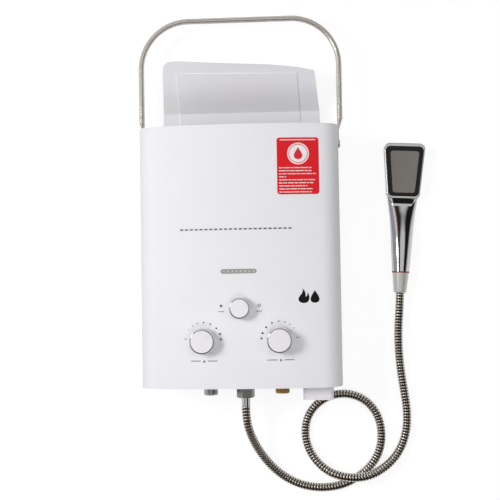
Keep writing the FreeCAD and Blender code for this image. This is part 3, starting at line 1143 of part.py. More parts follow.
# ---- All nodes --------------------------------------------------------------------------
def build():
    gas_knob, gas_ring = knob_parts(GAS_KNOB_XY, BIG_KNOB_R, BIG_KNOB_H)
    water_knob, water_ring = knob_parts(WATER_KNOB_XY, BIG_KNOB_R, BIG_KNOB_H)
    season_knob, season_ring = knob_parts(SEASON_KNOB_XY, SMALL_KNOB_R, SMALL_KNOB_H)
    return {
        "front_cover": front_cover(),
        "back_panel": back_panel(),
        "top_plate": top_plate(),
        "bottom_plate": bottom_plate(),
        "casing_screws": Part.Compound(cover_screws() + cap_screws()),
        "rain_cap": rain_cap(),
        "window_screen": window_screen(),
        "front_label": front_label(),
        "carry_handle": carry_handle(),
        "handle_pivots": Part.Compound(handle_screws() + handle_washers() + handle_nuts()),
        "gas_knob": gas_knob,
        "gas_knob_ring": gas_ring,
        "gas_spindle": spindle(GAS_KNOB_XY, BIG_KNOB_R),
        "water_knob": water_knob,
        "water_knob_ring": water_ring,
        "water_spindle": spindle(WATER_KNOB_XY, BIG_KNOB_R),
        "season_knob": season_knob,
        "season_knob_ring": season_ring,
        "season_spindle": spindle(SEASON_KNOB_XY, SMALL_KNOB_R),
        "gas_valve": gas_valve(),
        "water_valve": water_valve(),
        "diaphragm": diaphragm(),
        "diaphragm_cover": diaphragm_cover(),
        "push_rod": push_rod(),
        "microswitch": microswitch(),
        "switch_plunger": switch_plunger(),
        "gas_inlet": port(GAS_PORT_X, GAS_PORT_END, VALVE_Y[0]),
        "cold_inlet": port(COLD_PORT_X, COLD_PORT_END, VALVE_Y[0]),
        "hot_outlet": port(HOT_PORT_X, HOT_PORT_END, HOT_STEM_TOP),
        "combustion_box": combustion_box(),
        "burner_bars": burner_bars(),
        "gas_manifold": gas_manifold(),
        "gas_jets": gas_jets(),
        "season_valve": season_valve(),
        "exchanger_shell": exchanger_shell(),
        "exchanger_fins": exchanger_fins(),
        "exchanger_tube": exchanger_tube(),
        "cold_pipe": cold_pipe(),
        "hot_pipe": hot_pipe(),
        "flue_hood": flue_hood(),
        "chassis_brackets": Part.Compound(valve_brackets() + burner_rails() + mounting_rails()),
        "electrodes": Part.Compound([electrode(-1), electrode(1)]),
        "wiring": Part.Compound(ignition_leads() + [battery_lead()]),
        "igniter_module": igniter_module(),
        "thermostat": thermostat(),
        "battery_box": battery_box(),
        "battery_lid": battery_lid(),
        "lid_hinge_pin": lid_hinge_pin(),
        "batteries": batteries(),
        "battery_contacts": battery_contacts(),
        "battery_link": battery_link(),
        "hose_nut": hose_nut(),
        "hose_washer": hose_washer(),
        "hose_ferrule": hose_ferrule(),
        "shower_hose": shower_hose(),
        "cone_nut": cone_nut(),
        "shower_body": shower_body(),
        "shower_frame": shower_frame(),
        "spray_plate": spray_plate(),
        "shower_ring": shower_ring(),
    }


os.makedirs("parts", exist_ok=True)
for node, shape in build().items():
    print("%-20s solids %2d valid %s volume %.1f" % (node, len(shape.Solids), shape.isValid(), shape.Volume))
    shape.exportStep("parts/%s.step" % node)
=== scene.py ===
import json
import math

import bmesh
import bpy
from mathutils import Matrix, Vector


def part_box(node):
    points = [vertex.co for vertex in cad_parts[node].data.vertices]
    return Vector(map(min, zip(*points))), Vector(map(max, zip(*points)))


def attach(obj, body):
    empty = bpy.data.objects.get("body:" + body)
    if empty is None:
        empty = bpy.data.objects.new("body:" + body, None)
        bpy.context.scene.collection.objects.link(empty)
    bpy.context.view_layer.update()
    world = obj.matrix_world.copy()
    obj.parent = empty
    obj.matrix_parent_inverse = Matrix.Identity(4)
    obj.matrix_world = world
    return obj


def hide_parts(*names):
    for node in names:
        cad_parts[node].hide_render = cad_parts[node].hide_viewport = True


# Looks of the portable water heater. Metres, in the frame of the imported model: the heater
# lies on its back, +X to the right, +Y up its height, +Z out of its front.

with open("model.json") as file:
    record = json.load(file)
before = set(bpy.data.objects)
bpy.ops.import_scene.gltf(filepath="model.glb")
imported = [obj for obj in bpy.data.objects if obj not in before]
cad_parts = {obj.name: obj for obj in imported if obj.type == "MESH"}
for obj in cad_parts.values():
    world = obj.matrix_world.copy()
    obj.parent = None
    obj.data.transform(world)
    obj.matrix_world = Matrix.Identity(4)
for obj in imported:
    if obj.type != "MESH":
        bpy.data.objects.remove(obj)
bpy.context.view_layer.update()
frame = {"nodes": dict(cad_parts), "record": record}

MM = 0.001

# ---- Places taken from the solids -------------------------------------------------------
CASE_DEPTH = 130 * MM
CROWN_R = 780 * MM
GAS_KNOB = Vector((-51.9, -119.6, 0)) * MM
WATER_KNOB = Vector((56.5, -119.1, 0)) * MM
SEASON_KNOB = Vector((1.3, -73.8, 0)) * MM


# ---- Camera -----------------------------------------------------------------------------
CAMERA_LENS, CAMERA_SENSOR = 66.53, 36.0              # in mm
CAMERA_PLACE = (0.09511, -0.03574, 1.43108)
CAMERA_TURN = (1.859, 3.481, -0.94)                   # in degrees


def make_camera():
    data = bpy.data.cameras.new("studio_camera")
    data.lens, data.sensor_width = CAMERA_LENS, CAMERA_SENSOR
    camera = bpy.data.objects.new("studio_camera", data)
    camera.location = CAMERA_PLACE
    camera.rotation_euler = [math.radians(a) for a in CAMERA_TURN]
    bpy.context.scene.collection.objects.link(camera)
    bpy.context.scene.camera = camera


make_camera()


# ---- Hose -------------------------------------------------------------------------------
HOSE_DIAMETER = 13 * MM
HOSE_EXIT = (2.0, -222.0, 50.0)
HOSE_ROUTE = [
    HOSE_EXIT, (2.0, -239.0, 50.0), (6.5, -262.0, 43.5), (17.0, -288.0, 30.0),
    (34.5, -315.0, 16.5), (57.0, -336.0, 8.5), (84.0, -349.0, 6.7), (114.0, -353.0, 6.7),
    (143.0, -349.0, 6.7), (169.0, -336.5, 6.7), (190.0, -318.5, 6.7), (203.0, -295.0, 6.7),
    (206.0, -267.5, 6.7), (199.5, -240.5, 6.7), (182.0, -219.5, 6.7), (157.0, -209.5, 6.7),
    (130.0, -211.5, 6.7), (107.0, -225.0, 6.7), (92.0, -246.5, 6.7), (88.5, -272.5, 6.7),
    (95.5, -298.0, 7.8), (113.0, -319.5, 15.5), (139.0, -332.5, 24.5), (177.0, -335.0, 24.5),
    (209.0, -321.5, 15.5), (231.5, -299.0, 7.8), (243.0, -270.0, 6.7), (245.0, -238.0, 6.7),
    (240.5, -205.0, 6.7), (235.8, -172.0, 6.7), (233.5, -138.0, 7.2), (233.8, -108.0, 10.8),
    (235.79, -81.43, 13.6), (237.01, -57.46, 13.6),
]
RIB_PITCH = 4.4 * MM
# One turn of the interlocked strip, as (share of the pitch, radius in mm).
RIB = ((0.0, 5.9), (0.1, 6.3), (0.24, 6.5), (0.52, 6.5), (0.68, 6.3), (0.8, 5.9))
HOSE_SIDES = 28
LINE_STEPS = 16      # points of the smooth line on each stretch of the route


def hose_line():
    """Points along the hose's own smooth line, read from its spline."""
    curve = bpy.data.curves.new("hose_line", "CURVE")
    curve.dimensions = "3D"
    curve.resolution_u = LINE_STEPS
    spline = curve.splines.new("NURBS")
    spline.points.add(len(HOSE_ROUTE) - 1)
    for point, place in zip(spline.points, HOSE_ROUTE):
        point.co = (*(Vector(place) * MM), 1)
    spline.order_u = 3
    spline.use_endpoint_u = True
    holder = bpy.data.objects.new("hose_line", curve)
    mesh = bpy.data.meshes.new_from_object(holder)
    points = [v.co.copy() for v in mesh.vertices]
    bpy.data.objects.remove(holder)
    bpy.data.curves.remove(curve)
    bpy.data.meshes.remove(mesh)
    return points


def line_frames(points):
    """Running length, place, and two untwisted side directions at each point of a line."""
    frames = []
    length = 0.0
    side = Vector((1, 0, 0))
    for i, point in enumerate(points):
        ahead = points[min(i + 1, len(points) - 1)] - points[max(i - 1, 0)]
        way = ahead.normalized()
        side = (side - way * side.dot(way)).normalized()
        if i:
            length += (point - points[i - 1]).length
        frames.append((length, point, side, way.cross(side)))
    return frames


def bend_along(bm, frames):
    """Moves a straight form, whose axis is Z, onto a line."""
    row = sorted(bm.verts, key=lambda v: v.co.z)
    k = 0
    for v in row:
        while k < len(frames) - 2 and frames[k + 1][0] < v.co.z:
            k += 1
        start, end = frames[k], frames[k + 1]
        share = (v.co.z - start[0]) / (end[0] - start[0])
        place = start[1].lerp(end[1], share)
        side = start[2].lerp(end[2], share).normalized()
        other = start[3].lerp(end[3], share).normalized()
        v.co = place + side * v.co.x + other * v.co.y


def link_mesh(name, bm, finish, body="root", smooth=60):
    """Makes an object of a finished bmesh, smooth up to the given edge angle."""
    mesh = bpy.data.meshes.new(name)
    bm.normal_update()
    bm.to_mesh(mesh)
    bm.free()
    made = bpy.data.objects.new(name, mesh)
    bpy.context.scene.collection.objects.link(made)
    mesh.materials.append(finish)
    if smooth:
        mesh.shade_smooth()
        mesh.set_sharp_from_angle(angle=math.radians(smooth))
    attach(made, body)
    return made


def spun(outline, steps):
    """A form turned round Z from (radius, height) pairs, closed where it meets the axis."""
    bm = bmesh.new()
    verts = [bm.verts.new((r, 0, z)) for r, z in outline]
    edges = [bm.edges.new(pair) for pair in zip(verts, verts[1:])]
    bmesh.ops.spin(bm, geom=verts + edges, cent=(0, 0, 0), axis=(0, 0, 1), angle=2 * math.pi,
                   steps=steps, use_merge=True, use_duplicate=False)
    bmesh.ops.remove_doubles(bm, verts=bm.verts, dist=1e-6)
    bmesh.ops.recalc_face_normals(bm, faces=bm.faces)
    return bm


def make_hose(finish):
    """The interlocked steel hose: ribs round a smooth line, with its ends closed."""
    points = hose_line()
    frames = line_frames(points)
    length = frames[-1][0]
    turns = int(length / RIB_PITCH)
    pitch = length / turns
    outline = [(0, 0)]
    for turn in range(turns):
        outline += [(radius * MM, (turn + share) * pitch) for share, radius in RIB]
    outline += [(RIB[0][1] * MM, length), (0, length)]
    bm = spun(outline, HOSE_SIDES)
    # Depth into a groove, 0 on the ribs' tops and 1 at the bottom; the hose finish paints shade by it.
    groove = bm.verts.layers.float.new("groove")
    low, high = RIB[0][1] * MM, HOSE_DIAMETER / 2
    for v in bm.verts:
        v[groove] = (high - v.co.xy.length) / (high - low)
    bend_along(bm, frames)
    hose = link_mesh("steel_hose", bm, finish, smooth=75)
    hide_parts("shower_hose")


# ---- Finishes ---------------------------------------------------------------------------
class Wire:
    """A value in a tree of nodes that takes Python arithmetic."""

    def __init__(self, nodes, socket):
        self.nodes, self.socket = nodes, socket

    def sum(self, operation, *values):
        return self.nodes.node("Math", {"operation": operation}, dict(enumerate(values)))

    def __add__(self, other):
        return self.sum("ADD", self, other)

    __radd__ = __add__

    def __sub__(self, other):
        return self.sum("SUBTRACT", self, other)

    def __rsub__(self, other):
        return self.sum("SUBTRACT", other, self)

    def __mul__(self, other):
        return self.sum("MULTIPLY", self, other)

    __rmul__ = __mul__

    def __abs__(self):
        return self.sum("ABSOLUTE", self)

    def step(self, low, high, to_low=0.0, to_high=1.0):
        """A smooth rise from to_low to to_high as this goes from low to high."""
        return self.nodes.node("MapRange", {"interpolation_type": "SMOOTHSTEP"},
                               {0: self, 1: low, 2: high, 3: to_low, 4: to_high})


class Nodes:
    """A tree of shader nodes, with one method that makes any of them."""

    def __init__(self, tree):
        self.tree = tree

    def node(self, kind, settings=(), inputs=(), output=0):
        made = self.tree.nodes.new("ShaderNode" + kind)
        for key, value in dict(settings).items():
            setattr(made, key, value)
        for key, value in dict(inputs).items():
            self.plug(made.inputs[key], value)
        return Wire(self, made.outputs[output])

    def plug(self, socket, value):
        if isinstance(value, Wire):
            self.tree.links.new(value.socket, socket)
        else:
            socket.default_value = value

    def mix(self, share, a, b):
        """Colour a where share is 0, b where it is 1."""
        a, b = [(*c, 1) if isinstance(c, tuple) and len(c) == 3 else c for c in (a, b)]
        return self.node("Mix", {"data_type": "RGBA"}, {0: share, 6: a, 7: b}, output=2)


class Finish(Nodes):
    """A material and its Principled shader."""

    def __init__(self, name, colour, roughness, metallic=0.0, **fixed):
        self.material = bpy.data.materials.new(name)
        self.material.use_nodes = True
        super().__init__(self.material.node_tree)
        self.shader = self.tree.nodes["Principled BSDF"]
        self.material.diffuse_color = (*colour, 1)
        self.set("Base Color", (*colour, 1))
        self.set("Roughness", roughness)
        self.set("Metallic", metallic)
        for socket, value in fixed.items():
            self.set(socket.replace("_", " ").title().replace("Ior", "IOR"), value)
        self.place = self.node("TexCoord", output="Object")

    def set(self, socket, value):
        self.plug(self.shader.inputs[socket], value)

    def axis(self, letter):
        return self.node("SeparateXYZ", inputs={0: self.place}, output=letter)

    def stretched(self, scale):
        """Object coordinates scaled by three numbers."""
        return self.node("Mapping", inputs={"Vector": self.place, "Scale": scale})

    def noise(self, scale, detail=2.0, place=None, rough=0.5):
        return self.node("TexNoise", inputs={"Vector": place or self.place, "Scale": scale,
                                             "Detail": detail, "Roughness": rough})

    def bump(self, height, depth, strength=1.0):
        bump = self.node("Bump", inputs={"Height": height, "Distance": depth, "Strength": strength})
        self.set("Normal", bump)


FINISHES = {}


def finish(slot):
    """Files the finish that a maker function returns under a material slot's name."""
    def keep(maker):
        FINISHES[slot] = maker().material
        return maker
    return keep


def shaded(colour, share):
    return tuple(c * share for c in colour)


def paint(name, colour, roughness):
    """Powder coat: a fine orange peel, and a faint drift of tone and sheen."""
    made = Finish(name, colour, roughness, specular_ior_level=0.35, coat_weight=0.03, coat_roughness=0.25)
    drift = made.noise(9, 2)
    peel = made.noise(900, 2)
    made.set("Base Color", made.mix(drift.step(0.3, 0.7), shaded(colour, 0.985), colour))
    made.set("Roughness", drift * 0.08 + (roughness - 0.04))
    made.bump(peel, 0.00006, 0.35)
    return made


WHITE = (0.85, 0.848, 0.885)


@finish("white_paint")
def white_paint():
    return paint("white_powder_coat", WHITE, 0.5)


def moulding(name, colour, roughness, grain=1400, depth=0.00003):
    """Moulded plastic with a fine sparked texture."""
    made = Finish(name, colour, roughness)
    cloud = made.noise(30, 3)
    made.set("Base Color", made.mix(cloud.step(0.35, 0.65), shaded(colour, 0.97), colour))
    made.set("Roughness", cloud * 0.1 + (roughness - 0.05))
    made.bump(made.noise(grain, 2), depth, 0.5)
    return made


@finish("white_plastic")
def white_plastic():
    return moulding("white_moulding", (0.855, 0.84, 0.875), 0.36)


@finish("black_plastic")
def black_plastic():
    made = moulding("black_moulding", (0.012, 0.011, 0.011), 0.38)
    made.set("Specular IOR Level", 0.25)
    return made


@finish("red_plastic")
def red_plastic():
    return moulding("red_brown_moulding", (0.24, 0.03, 0.018), 0.3)


@finish("grey_plastic")
def grey_plastic():
    return moulding("grey_spray_moulding", (0.198, 0.183, 0.169), 0.45)


@finish("black_rubber")
def black_rubber():
    return moulding("black_rubber", (0.02, 0.02, 0.02), 0.7, 900)


@finish("white_ceramic")
def white_ceramic():
    return moulding("glazed_ceramic", (0.8, 0.78, 0.72), 0.2, 300)


@finish("cell_can")
def cell_can():
    made = moulding("battery_sleeve", (0.05, 0.06, 0.09), 0.3, 500)
    band = made.axis("Y").step(-0.168, -0.1675)
    made.set("Base Color", made.mix(band, (0.05, 0.06, 0.09), (0.55, 0.36, 0.16)))
    made.set("Metallic", band * 0.8)
    return made


@finish("red_vinyl")
def red_vinyl():
    made = moulding("red_vinyl", (0.76, 0.011, 0.018), 0.5, 700, 0.00002)
    made.set("Specular IOR Level", 0.2)
    return made


def metal(name, colour, roughness, scale, worn=0.0, metallic=1.0):
    """Drawn or rolled metal: fine lines along one axis, and a cloudy polish."""
    made = Finish(name, colour, roughness, metallic)
    lines = made.noise(1.0, 3, made.stretched(scale), 0.6)
    cloud = made.noise(40, 3)
    made.set("Base Color", made.mix(lines.step(0.3, 0.7), shaded(colour, 0.9 - worn), colour))
    made.set("Roughness", cloud * 0.12 + (roughness - 0.06) + lines * 0.08)
    made.bump(lines, 0.00003, 0.4)
    return made


@finish("plated_steel")
def plated_steel():
    made = metal("zinc_plate", (0.58, 0.58, 0.57), 0.4, (40, 40, 40))
    spangle = made.node("TexVoronoi", inputs={"Vector": made.place, "Scale": 110}, output="Color")
    tone = made.node("SeparateColor", inputs={0: spangle})
    made.set("Base Color", made.mix(tone, (0.5, 0.5, 0.5), (0.64, 0.64, 0.63)))
    made.set("Roughness", tone * 0.15 + 0.33)
    return made


@finish("bright_steel")
def bright_steel():
    return metal("bright_steel", (0.62, 0.62, 0.62), 0.24, (500, 500, 500))


@finish("grey_screen")
def grey_screen():
    return paint("grey_screen_paint", (0.36, 0.355, 0.345), 0.45)


@finish("stainless")
def stainless():
    """Drawn tube: lines along the legs, and along the bar above them."""
    colour = (0.8, 0.76, 0.71)
    made = Finish("drawn_stainless", colour, 0.3, 0.75)
    legs = made.noise(1.0, 3, made.stretched((1500, 25, 1500)), 0.6)
    bar = made.noise(1.0, 3, made.stretched((25, 1500, 1500)), 0.6)
    over = made.axis("Y").step(0.3, 0.35)
    lines = legs + (bar - legs) * over
    made.set("Base Color", made.mix(lines.step(0.3, 0.7), shaded(colour, 0.93), colour))
    made.set("Roughness", lines * 0.1 + 0.16)
    made.bump(lines, 0.00001, 0.2)
    return made


@finish("chrome_trim")
def chrome_trim():
    """Polished plating with faint wiping marks."""
    made = Finish("polished_chrome", (0.74, 0.74, 0.75), 0.06, 1.0)
    wiped = made.noise(1.0, 4, made.stretched((90, 22, 60)), 0.6)
    made.set("Roughness", wiped.step(0.35, 0.8, 0.035, 0.12))
    made.set("Base Color", made.mix(made.noise(14, 2), (0.7, 0.7, 0.71), (0.77, 0.77, 0.78)))
    return made


@finish("brass_metal")
def brass_metal():
    return metal("turned_brass", (0.62, 0.4, 0.14), 0.25, (60, 2500, 60), 0.06)


@finish("copper")
def copper():
    return metal("drawn_copper", (0.7, 0.33, 0.2), 0.28, (60, 60, 60), 0.1)


@finish("cast_aluminium")
def cast_aluminium():
    made = metal("cast_aluminium", (0.55, 0.55, 0.54), 0.42, (400, 400, 400))
    made.bump(made.noise(1200, 3), 0.00008, 0.5)
    return made


@finish("hose_steel")
def hose_steel():
    """Interlocked strip: polished ribs, with painted shade in the grooves between them, darker the deeper.
    """
    made = Finish("hose_steel", (0.72, 0.67, 0.6), 0.2, 1.0)
    groove = made.node("Attribute", {"attribute_name": "groove"}, output="Fac")
    groove_shade_mask = groove.step(0.12, 0.7)
    cloud = made.noise(120, 3)
    rib = made.mix(cloud, (0.78, 0.73, 0.66), (0.92, 0.87, 0.8))
    # Painted shade: the base colour goes nearly black down in the grooves, by their depth.
    made.set("Base Color", made.mix(groove_shade_mask, rib, (0.08, 0.07, 0.06)))
    made.set("Roughness", groove_shade_mask * 0.3 + cloud * 0.1 + 0.1)
    return made


@finish("satin_nickel")
def satin_nickel():
    return metal("satin_nickel", (0.8, 0.79, 0.77), 0.34, (900, 900, 900), metallic=0.6)


@finish("dark_nickel")
def dark_nickel():
    return metal("dark_nickel", (0.34, 0.335, 0.325), 0.22, (900, 900, 900))


def ink(name, colour):
    """Screen-printed ink, a little uneven in its cover."""
    made = Finish(name, colour, 0.6, specular_ior_level=0.25)
    cover = made.noise(700, 2)
    made.set("Base Color", made.mix(cover.step(0.3, 0.7), colour, tuple(c + 0.005 for c in colour)))
    return made.material


BLACK_INK = ink("black_ink", (0.003, 0.003, 0.003))
GREY_INK = ink("grey_ink", (0.13, 0.13, 0.135))
PALE_INK = ink("pale_ink", (0.2, 0.2, 0.205))
WHITE_INK = ink("white_ink", (0.86, 0.84, 0.85))
RED_INK = ink("red_ink", (0.72, 0.018, 0.03))


def dress_nodes():
    """Gives every node that shows its slot's finish, but for two nodes with a plating of their own."""
    slots = {part["node"]: part["material_slot"] for part in frame["record"]["subparts"]}
    slots["hose_nut"], slots["gas_inlet"] = "dark_nickel", "bright_steel"
    for name, node in frame["nodes"].items():
        node.data.materials.clear()
        node.data.materials.append(FINISHES[slots[name]])


dress_nodes()
make_hose(FINISHES["hose_steel"])


# ---- Print on the crowned front ---------------------------------------------------------
PRINT_T = 0.06 * MM
LABEL_TOP = 0.30 * MM      # height of the label's face over the cover
STRIP = 4 * MM             # a print follows the crown in strips this wide


def front_z(x):
    return CASE_DEPTH - CROWN_R + math.sqrt(CROWN_R ** 2 - x ** 2)


def disc(bm, centre, radius, sides):
    verts = bmesh.ops.create_circle(bm, cap_ends=True, radius=radius, segments=sides)["verts"]
    bmesh.ops.translate(bm, verts=verts, vec=(*centre, 0))


def bar(bm, centre, length, width, turn=0.0):
    verts = bmesh.ops.create_grid(bm, x_segments=1, y_segments=1, size=0.5)["verts"]
    bmesh.ops.scale(bm, verts=verts, vec=(length, width, 1))
    rotate(bm, verts, turn)
    bmesh.ops.translate(bm, verts=verts, vec=(*centre, 0))


def rotate(bm, verts, turn):
    """Turns round the Z axis."""
    bmesh.ops.rotate(bm, verts=verts, cent=(0, 0, 0), matrix=Matrix.Rotation(turn, 3, "Z"))


def hoop(bm, centre, outer, inner, sides):
    """A flat ring."""
    edges = []
    for radius in (outer, inner):
        verts = bmesh.ops.create_circle(bm, radius=radius, segments=sides)["verts"]
        bmesh.ops.translate(bm, verts=verts, vec=(*centre, 0))
        edges += {edge for v in verts for edge in v.link_edges}
    bmesh.ops.bridge_loops(bm, edges=edges)


def drop(bm, centre, height, sides=40):
    """A water drop standing on its round end."""
    radius = height / 2
    verts = bmesh.ops.create_circle(bm, cap_ends=True, radius=radius, segments=sides)["verts"]
    for v in verts:
        turn = math.atan2(v.co.x, v.co.y) % (2 * math.pi)
        v.co.x = radius * math.sin(turn) * math.sin(turn / 2) ** 1.5
    bmesh.ops.translate(bm, verts=verts, vec=(*centre, 0))


# A flame's outline, in shares of its height, with a side tongue at the right.
FLAME = ((0, -0.5), (0.17, -0.48), (0.3, -0.39), (0.37, -0.24), (0.38, -0.07), (0.34, 0.08), (0.27, 0.25),
         (0.25, 0.08), (0.19, -0.03), (0.12, -0.08), (0.13, 0.08), (0.1, 0.24), (0.03, 0.38), (-0.08, 0.5),
         (-0.05, 0.34), (-0.09, 0.2), (-0.19, 0.07), (-0.3, -0.05), (-0.36, -0.2), (-0.33, -0.35),
         (-0.22, -0.45), (-0.1, -0.49))


def flame(bm, centre, height):
    verts = [bm.verts.new((centre[0] + x * height, centre[1] + y * height, 0)) for x, y in FLAME]
    face = bm.faces.new(verts)
    face.normal_update()
    bmesh.ops.triangulate(bm, faces=[face])


def printed(name, bm, material, lift=0.0):
    """Lays flat shapes on the crowned front and gives them a print's thickness."""
    xs = [v.co.x for v in bm.verts]
    cut = math.floor(min(xs) / STRIP) * STRIP
    while cut < max(xs):
        geom = list(bm.verts) + list(bm.edges) + list(bm.faces)
        bmesh.ops.bisect_plane(bm, geom=geom, dist=1e-7, plane_co=(cut, 0, 0), plane_no=(1, 0, 0))
        cut += STRIP
    for v in bm.verts:
        v.co.z = front_z(v.co.x) + lift
    bm.normal_update()
    upside_down = [f for f in bm.faces if f.normal.z < 0]
    bmesh.ops.reverse_faces(bm, faces=upside_down)
    made = bmesh.ops.extrude_face_region(bm, geom=list(bm.faces))
    top = [g for g in made["geom"] if isinstance(g, bmesh.types.BMVert)]
    bmesh.ops.translate(bm, verts=top, vec=(0, 0, PRINT_T))
    bmesh.ops.recalc_face_normals(bm, faces=bm.faces)
    link_mesh(name, bm, material, smooth=0)


def arc_place(centre, radius, clock):
    """A point round a knob; clock is in degrees from straight up, clockwise."""
    turn = math.radians(clock)
    return centre.x + radius * math.sin(turn), centre.y + radius * math.cos(turn)


# Each dot of a knob's scale: its place on the clock in degrees, and its radius in mm.
DOTS = ((-68, 0.4), (-51.5, 0.6), (-34.2, 0.75), (-17.3, 0.9), (2.4, 1.02), (24.1, 1.16),
        (46.7, 1.32), (68.1, 1.48))
DOT_REACH = 26 * MM


def knob_scale(bm, knob, hand):
    """Eight dots over the top of a knob, growing clockwise where hand is 1."""
    for clock, radius in DOTS:
        disc(bm, arc_place(knob, DOT_REACH, hand * clock), radius * MM, 16)


def beside(knob, x, y):
    return knob.x + x * MM, knob.y + y * MM


# Places beside the knob that a print goes with, in mm from the knob's axis.
STAR_AT, RING_AT = (-27, 3.4), (27, 3.4)
LESS_AT, MORE_AT = (-25, 3.0), (25.5, 2.4)
SIGN_AT, SIGN_BAR_REACH = (1.2, -28.2), 12
SEASON_BAR_AT = (27, -4.6)
# Lengths and widths.
LESS_BAR, STAR_BAR = (4.2 * MM, 1.1 * MM), (4.2 * MM, 1.0 * MM)
SIGN_BAR, SEASON_BAR = (14 * MM, 1.3 * MM), (8.5 * MM, 1.0 * MM)
RING_R = (2.5 * MM, 1.5 * MM)
SMALL_FLAME, SMALL_DROP = 5 * MM, 4.4 * MM


def scale_marks():
    """The dots over the two large knobs, and the star at the left of the small one."""
    bm = bmesh.new()
    knob_scale(bm, GAS_KNOB, 1)
    knob_scale(bm, WATER_KNOB, -1)
    for ray in range(3):
        bar(bm, beside(SEASON_KNOB, *STAR_AT), *STAR_BAR, ray * math.pi / 3)
    printed("scale_marks", bm, BLACK_INK)


def less_and_more_signs():
    """A minus and a plus at the ends of each scale, and the ring at the right of the small knob."""
    bm = bmesh.new()
    for knob, hand in ((GAS_KNOB, 1), (WATER_KNOB, -1)):
        bar(bm, beside(knob, LESS_AT[0] * hand, LESS_AT[1]), *LESS_BAR)
        for turn in (0, math.pi / 2):
            bar(bm, beside(knob, MORE_AT[0] * hand, MORE_AT[1]), *LESS_BAR, turn)
    hoop(bm, beside(SEASON_KNOB, *RING_AT), *RING_R, 32)
    printed("less_and_more_signs", bm, GREY_INK)


def knob_signs():
    """A flame and a drop between bars under the large knobs, and two bars beside the small one."""
    bm = bmesh.new()
    flame(bm, beside(GAS_KNOB, *SIGN_AT), SMALL_FLAME)
    drop(bm, beside(WATER_KNOB, *SIGN_AT), SMALL_DROP, 24)
    for knob in (GAS_KNOB, WATER_KNOB):
        for side in (-1, 1):
            bar(bm, beside(knob, SIGN_AT[0] + side * SIGN_BAR_REACH, SIGN_AT[1]), *SIGN_BAR)
    for side in (-1, 1):
        bar(bm, beside(SEASON_KNOB, side * SEASON_BAR_AT[0], SEASON_BAR_AT[1]), *SEASON_BAR)
    printed("knob_signs", bm, PALE_INK)


MARK_FLAME_AT, MARK_FLAME = (0.0912, -0.0577), 21 * MM
MARK_DROP_AT, MARK_DROP = (0.1070, -0.0590), 18 * MM


def flame_and_drop():
    bm = bmesh.new()
    flame(bm, MARK_FLAME_AT, MARK_FLAME)
    drop(bm, MARK_DROP_AT, MARK_DROP)
    printed("flame_and_drop", bm, BLACK_INK)


RULE_START, DASHES = (-0.0805, 0.038), 23
DASH, DASH_PITCH = (4.6 * MM, 2.2 * MM), 7 * MM


def dashed_rule():
    bm = bmesh.new()
    for i in range(DASHES):
        bar(bm, (RULE_START[0] + i * DASH_PITCH, RULE_START[1]), *DASH)
    printed("dashed_rule", bm, GREY_INK)


# The label's ring with its drop, its heading, and its rows of bars, from the left end of the first.
LABEL_RING_AT, LABEL_RING_R, LABEL_DISC_R = (0.0868, 0.1436), (15.4 * MM, 13.6 * MM), 12.6 * MM
LABEL_DROP_UP, LABEL_DROP = 0.5 * MM, 17 * MM
HEADING_AT, HEADING = (0.08635, 0.1632), (50 * MM, 1.3 * MM)
ROWS_X, ROWS_Y, ROW_PITCH = 0.0594, 0.1235, 4.3 * MM
ROWS = (46, 46, 52, 10, 51, 48, 40, 47, 46)            # lengths of the rows, in mm
WORDS = (5.2, 9.6, 3.4, 7.0, 12.0, 4.2, 6.1, 8.3)      # lengths of the bars in a row, in mm
WORD_GAP, WORD_H = 1.1, 1.2 * MM


def label_print():
    bm = bmesh.new()
    hoop(bm, LABEL_RING_AT, *LABEL_RING_R, 64)
    disc(bm, LABEL_RING_AT, LABEL_DISC_R, 48)
    bar(bm, HEADING_AT, *HEADING)
    for row, length in enumerate(ROWS):
        start, word = 0.0, row
        while start < length:
            width = min(WORDS[word % len(WORDS)], length - start)
            place = (ROWS_X + (start + width / 2) * MM, ROWS_Y - row * ROW_PITCH)
            bar(bm, place, width * MM, WORD_H)
            start += width + WORD_GAP
            word += 1
    printed("label_print", bm, WHITE_INK, LABEL_TOP)


def label_drop():
    bm = bmesh.new()
    drop(bm, (LABEL_RING_AT[0], LABEL_RING_AT[1] + LABEL_DROP_UP), LABEL_DROP)
    printed("label_drop", bm, RED_INK, LABEL_TOP + PRINT_T)


scale_marks()
less_and_more_signs()
knob_signs()
flame_and_drop()
dashed_rule()
label_print()
label_drop()


# ---- Pane of the flame window -----------------------------------------------------------
# Its thickness, how far its edge lies inside the strip's, and its gap behind the strip.
PANE_T, PANE_IN, PANE_GAP = 0.5 * MM, 3 * MM, 0.05 * MM


def window_pane():
    """The pale mica sheet that lies behind the holes of the flame window."""
    low, high = [Vector(corner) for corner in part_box("window_screen")]
    bm = bmesh.new()
    bmesh.ops.create_cube(bm, size=1)
    size = (high.x - low.x - 2 * PANE_IN, high.y - low.y - 2 * PANE_IN, PANE_T)
    bmesh.ops.scale(bm, verts=bm.verts, vec=size)
    middle = (low + high) / 2
    bmesh.ops.translate(bm, verts=bm.verts, vec=(middle.x, middle.y, low.z - PANE_GAP - PANE_T / 2))
    link_mesh("window_pane", bm, FINISHES["white_ceramic"], smooth=0)


window_pane()


# ---- Knobs ------------------------------------------------------------------------------
POINTER_SIZE = (7.5 * MM, 1.3 * MM, 1.3 * MM)
POINTER_ROUND = 0.4 * MM
POINTER_TURN = math.radians(45)


